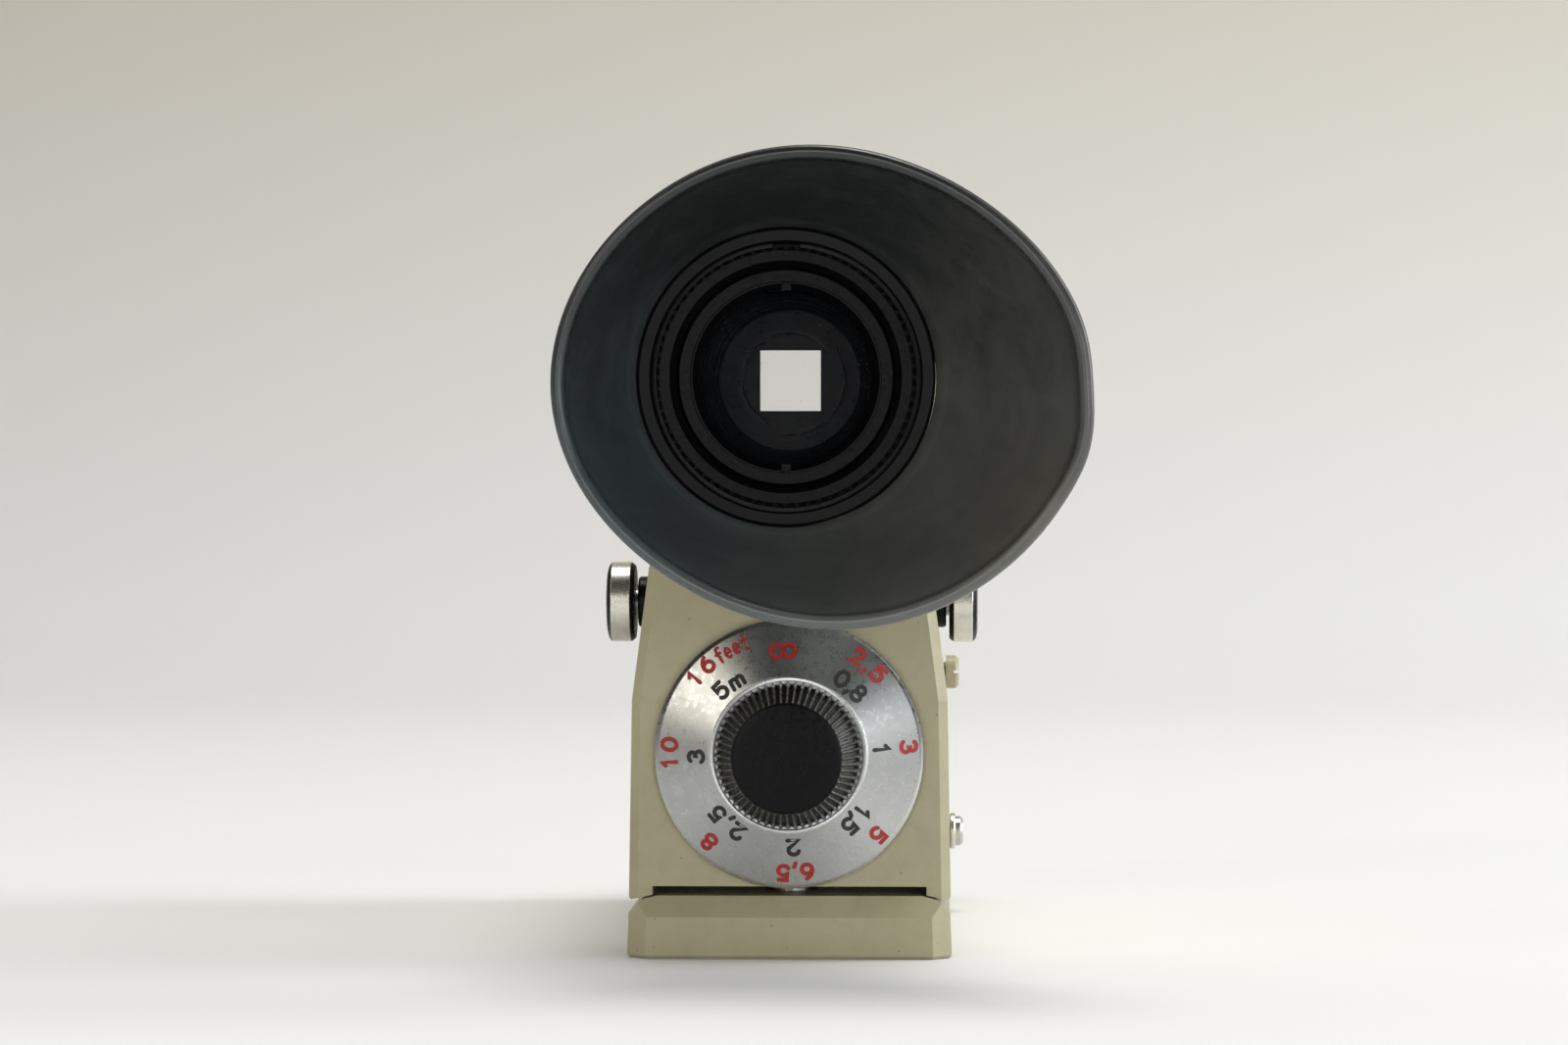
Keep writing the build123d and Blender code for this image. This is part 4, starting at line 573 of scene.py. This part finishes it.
def return_spring():
    """Close-wound tension spring with a loop at each end, stretched between its post and its rod."""
    low, high = span("return_spring")
    x, y = (low.x + high.x) / 2, (low.y + high.y) / 2
    coil_r = (high.x - low.x) / 2 - SPRING_WIRE
    bottom, top = low.z + 1.6, high.z - 1.2
    lower_loop = [radians(30 + 20 * k) for k in range(16)]
    path = [(x + LOWER_LOOP_R * sin(a), y + LOWER_LOOP_R * cos(a), low.z - 0.75) for a in lower_loop]
    path += [(x + coil_r * 0.7, y - 0.4, low.z + 0.4)]
    steps = SPRING_TURNS * COIL_STEPS
    for k in range(steps + 1):
        turn = 2 * pi * k / COIL_STEPS
        path.append((x + coil_r * cos(turn), y + coil_r * sin(turn), bottom + (top - bottom) * k / steps))
    upper_loop = [radians(40 + 20 * k) for k in range(15)]
    path += [(x, y + UPPER_LOOP_R * sin(a), high.z + 1.0 - UPPER_LOOP_R * cos(a)) for a in upper_loop]
    round_wire = [2 * pi * j / WIRE_SIDES for j in range(WIRE_SIDES)]
    points = []
    for k, place in enumerate(path):
        here = Vector(place)
        ahead = (Vector(path[min(k + 1, len(path) - 1)]) - Vector(path[max(k - 1, 0)])).normalized()
        one = ahead.cross(Vector((0, 0, 1)) if abs(ahead.z) < 0.8 else Vector((1, 0, 0))).normalized()
        two = ahead.cross(one)
        points += [here + (one * cos(a) + two * sin(a)) * SPRING_WIRE for a in round_wire]
    faces = grid_faces(len(path), WIRE_SIDES)
    faces += [tuple(range(WIRE_SIDES)), tuple(range(len(points) - WIRE_SIDES, len(points)))]
    made = make_piece("return_spring_coils", points, faces, None, FINISHES["spring_steel"],
                      60, ["return_spring"])
    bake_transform(made)


# ---------------------------------------------------------------- broken edges on the castings
CASTING_EDGE = 0.22


def soften(node, width):
    """Rounds a CAD piece's sharp edges a little, as paint or polishing does."""
    target = frame["nodes"][node]
    flats = target.modifiers.new("flats", "DECIMATE")
    flats.decimate_type = "DISSOLVE"
    flats.angle_limit = radians(1)
    rounds = target.modifiers.new("rounds", "BEVEL")
    rounds.width = width * MM
    rounds.segments = 3
    rounds.limit_method = "ANGLE"
    rounds.angle_limit = radians(30)
    rounds.harden_normals = True


eyecup()
dial_disc()
dial_figures()
dial_knob()
return_spring()
for casting in ("housing_shell", "foot_block", "front_cover"):
    soften(casting, CASTING_EDGE)

# ---------------------------------------------------------------- stage, light and camera
CAMERA_LENS, CAMERA_SENSOR = 106.2, 36
CAMERA_AT = (14.7 * MM, -534 * MM, 51 * MM)
CAMERA_DOWN, CAMERA_LEFT = 0.45, 1.75   # degrees


def camera():
    """Level with the housing's middle, half a metre behind it and a little to its right."""
    data = bpy.data.cameras.new("camera")
    data.lens = CAMERA_LENS
    data.sensor_width = CAMERA_SENSOR
    made = bpy.data.objects.new("camera", data)
    bpy.context.collection.objects.link(made)
    made.location = CAMERA_AT
    made.rotation_euler = (radians(90 - CAMERA_DOWN), 0, radians(CAMERA_LEFT))
    bpy.context.scene.camera = made


def stage():
    """A pale sweep: floor in front that curves up into a backdrop far behind; its colour is painted darker
    and warmer up the backdrop as painted shade.
    """
    half, floor_front, floor_back, radius, top = 2.6, -1.4, 0.55, 0.5, 2.2
    profile = [(floor_front, 0.0), (floor_back, 0.0)]
    profile += [(floor_back + radius * sin(a), radius * (1 - cos(a)))
                for a in [pi / 2 * k / 24 for k in range(1, 25)]]
    profile += [(floor_back + radius, top)]
    verts = [(x, y, z - 0.00002) for y, z in profile for x in (-half, half)]
    faces = [(2 * k, 2 * k + 1, 2 * k + 3, 2 * k + 2) for k in range(len(profile) - 1)]
    mesh = bpy.data.meshes.new("sweep")
    mesh.from_pydata(verts, [], faces)
    made = bpy.data.objects.new("sweep", mesh)
    bpy.context.collection.objects.link(made)
    mesh.polygons.foreach_set("use_smooth", [True] * len(mesh.polygons))
    f = Finish("sweep_paper", Roughness=0.9)
    parts = f.node("ShaderNodeSeparateXYZ")
    f.feed(parts.inputs[0], f.place)
    # painted shade: the paper's colour is pale at the floor and darker and warmer up the backdrop
    shade = f.ramp(parts.outputs["Z"], (0.02, (0.90, 0.90, 0.90, 1)), (0.22, (0.68, 0.645, 0.56, 1)))
    f.into("Base Color", f.mix(f.ramp(f.noise(0.6, 2), (0.3, 0.0), (0.7, 0.03)), shade, (0.8, 0.8, 0.8, 1)))
    mesh.materials.append(f.material)


def area(name, place, target, size, power, colour):
    data = bpy.data.lights.new(name, "AREA")
    data.shape = "RECTANGLE"
    data.size, data.size_y = size
    data.energy = power
    data.color = colour
    made = bpy.data.objects.new(name, data)
    bpy.context.collection.objects.link(made)
    made.location = place
    made.rotation_euler = (Vector(target) - Vector(place)).to_track_quat("-Z", "Y").to_euler()


def room(strength):
    """Soft light from the room: bright beyond the object, weaker above and beside it, dark behind us."""
    world = bpy.data.worlds.new("room")
    world.use_nodes = True
    tree = world.node_tree
    direction = tree.nodes.new("ShaderNodeTexCoord").outputs["Generated"]
    towards = tree.nodes.new("ShaderNodeVectorMath")
    towards.operation = "DOT_PRODUCT"
    towards.inputs[1].default_value = (0.10, 1.0, 0.0)
    tree.links.new(direction, towards.inputs[0])
    shade = tree.nodes.new("ShaderNodeMapRange")
    shade.inputs["From Min"].default_value = -0.20
    shade.inputs["From Max"].default_value = 0.35
    shade.inputs["To Min"].default_value = 0.01 * strength
    shade.inputs["To Max"].default_value = strength
    tree.links.new(towards.outputs["Value"], shade.inputs["Value"])
    background = tree.nodes["Background"]
    background.inputs["Color"].default_value = (1.0, 0.99, 0.965, 1)
    tree.links.new(shade.outputs["Result"], background.inputs["Strength"])
    bpy.context.scene.world = world


POWERS = {"room": 1.4, "window": 2.0, "lamp": 2.0, "front_left": 2.2, "front_right": 2.86,
          "ceiling": 7.0, "wash": 3.8, "right": 5.0}


def lights():
    """A cool window behind the user's right, a warm lamp upper left, and two soft lights behind the user;
    then soft light from above and the right, and a wash on the backdrop."""
    room(POWERS["room"])
    area("window", (0.96, -0.92, 0.27), (0, 0, 0.04), (0.3, 0.5), POWERS["window"], (0.93, 0.97, 1.0))
    area("lamp", (-0.97, -0.84, 0.63), (0, 0, 0.04), (0.30, 0.30), POWERS["lamp"], (1.0, 0.93, 0.82))
    area("front_left", (-0.40, -1.28, 0.27), (0, 0, 0.04), (0.4, 0.4), POWERS["front_left"],
         (1.0, 0.97, 0.92))
    area("front_right", (0.47, -1.30, 0.15), (0, 0, 0.04), (0.4, 0.4), POWERS["front_right"],
         (0.96, 0.98, 1.0))
    area("ceiling", (0.10, 0.10, 1.3), (0, 0, 0), (0.6, 0.4), POWERS["ceiling"], (1.0, 0.99, 0.97))
    area("wash", (0.9, 0.25, 0.7), (0.4, 1.05, 0.1), (0.6, 0.4), POWERS["wash"], (0.96, 0.98, 1.0))
    area("right_side", (1.2, 0.05, 0.35), (0, 0, 0.03), (0.5, 0.5), POWERS["right"], (0.96, 0.98, 1.0))
    bpy.context.scene.view_settings.view_transform = "Standard"


camera()
stage()
lights()
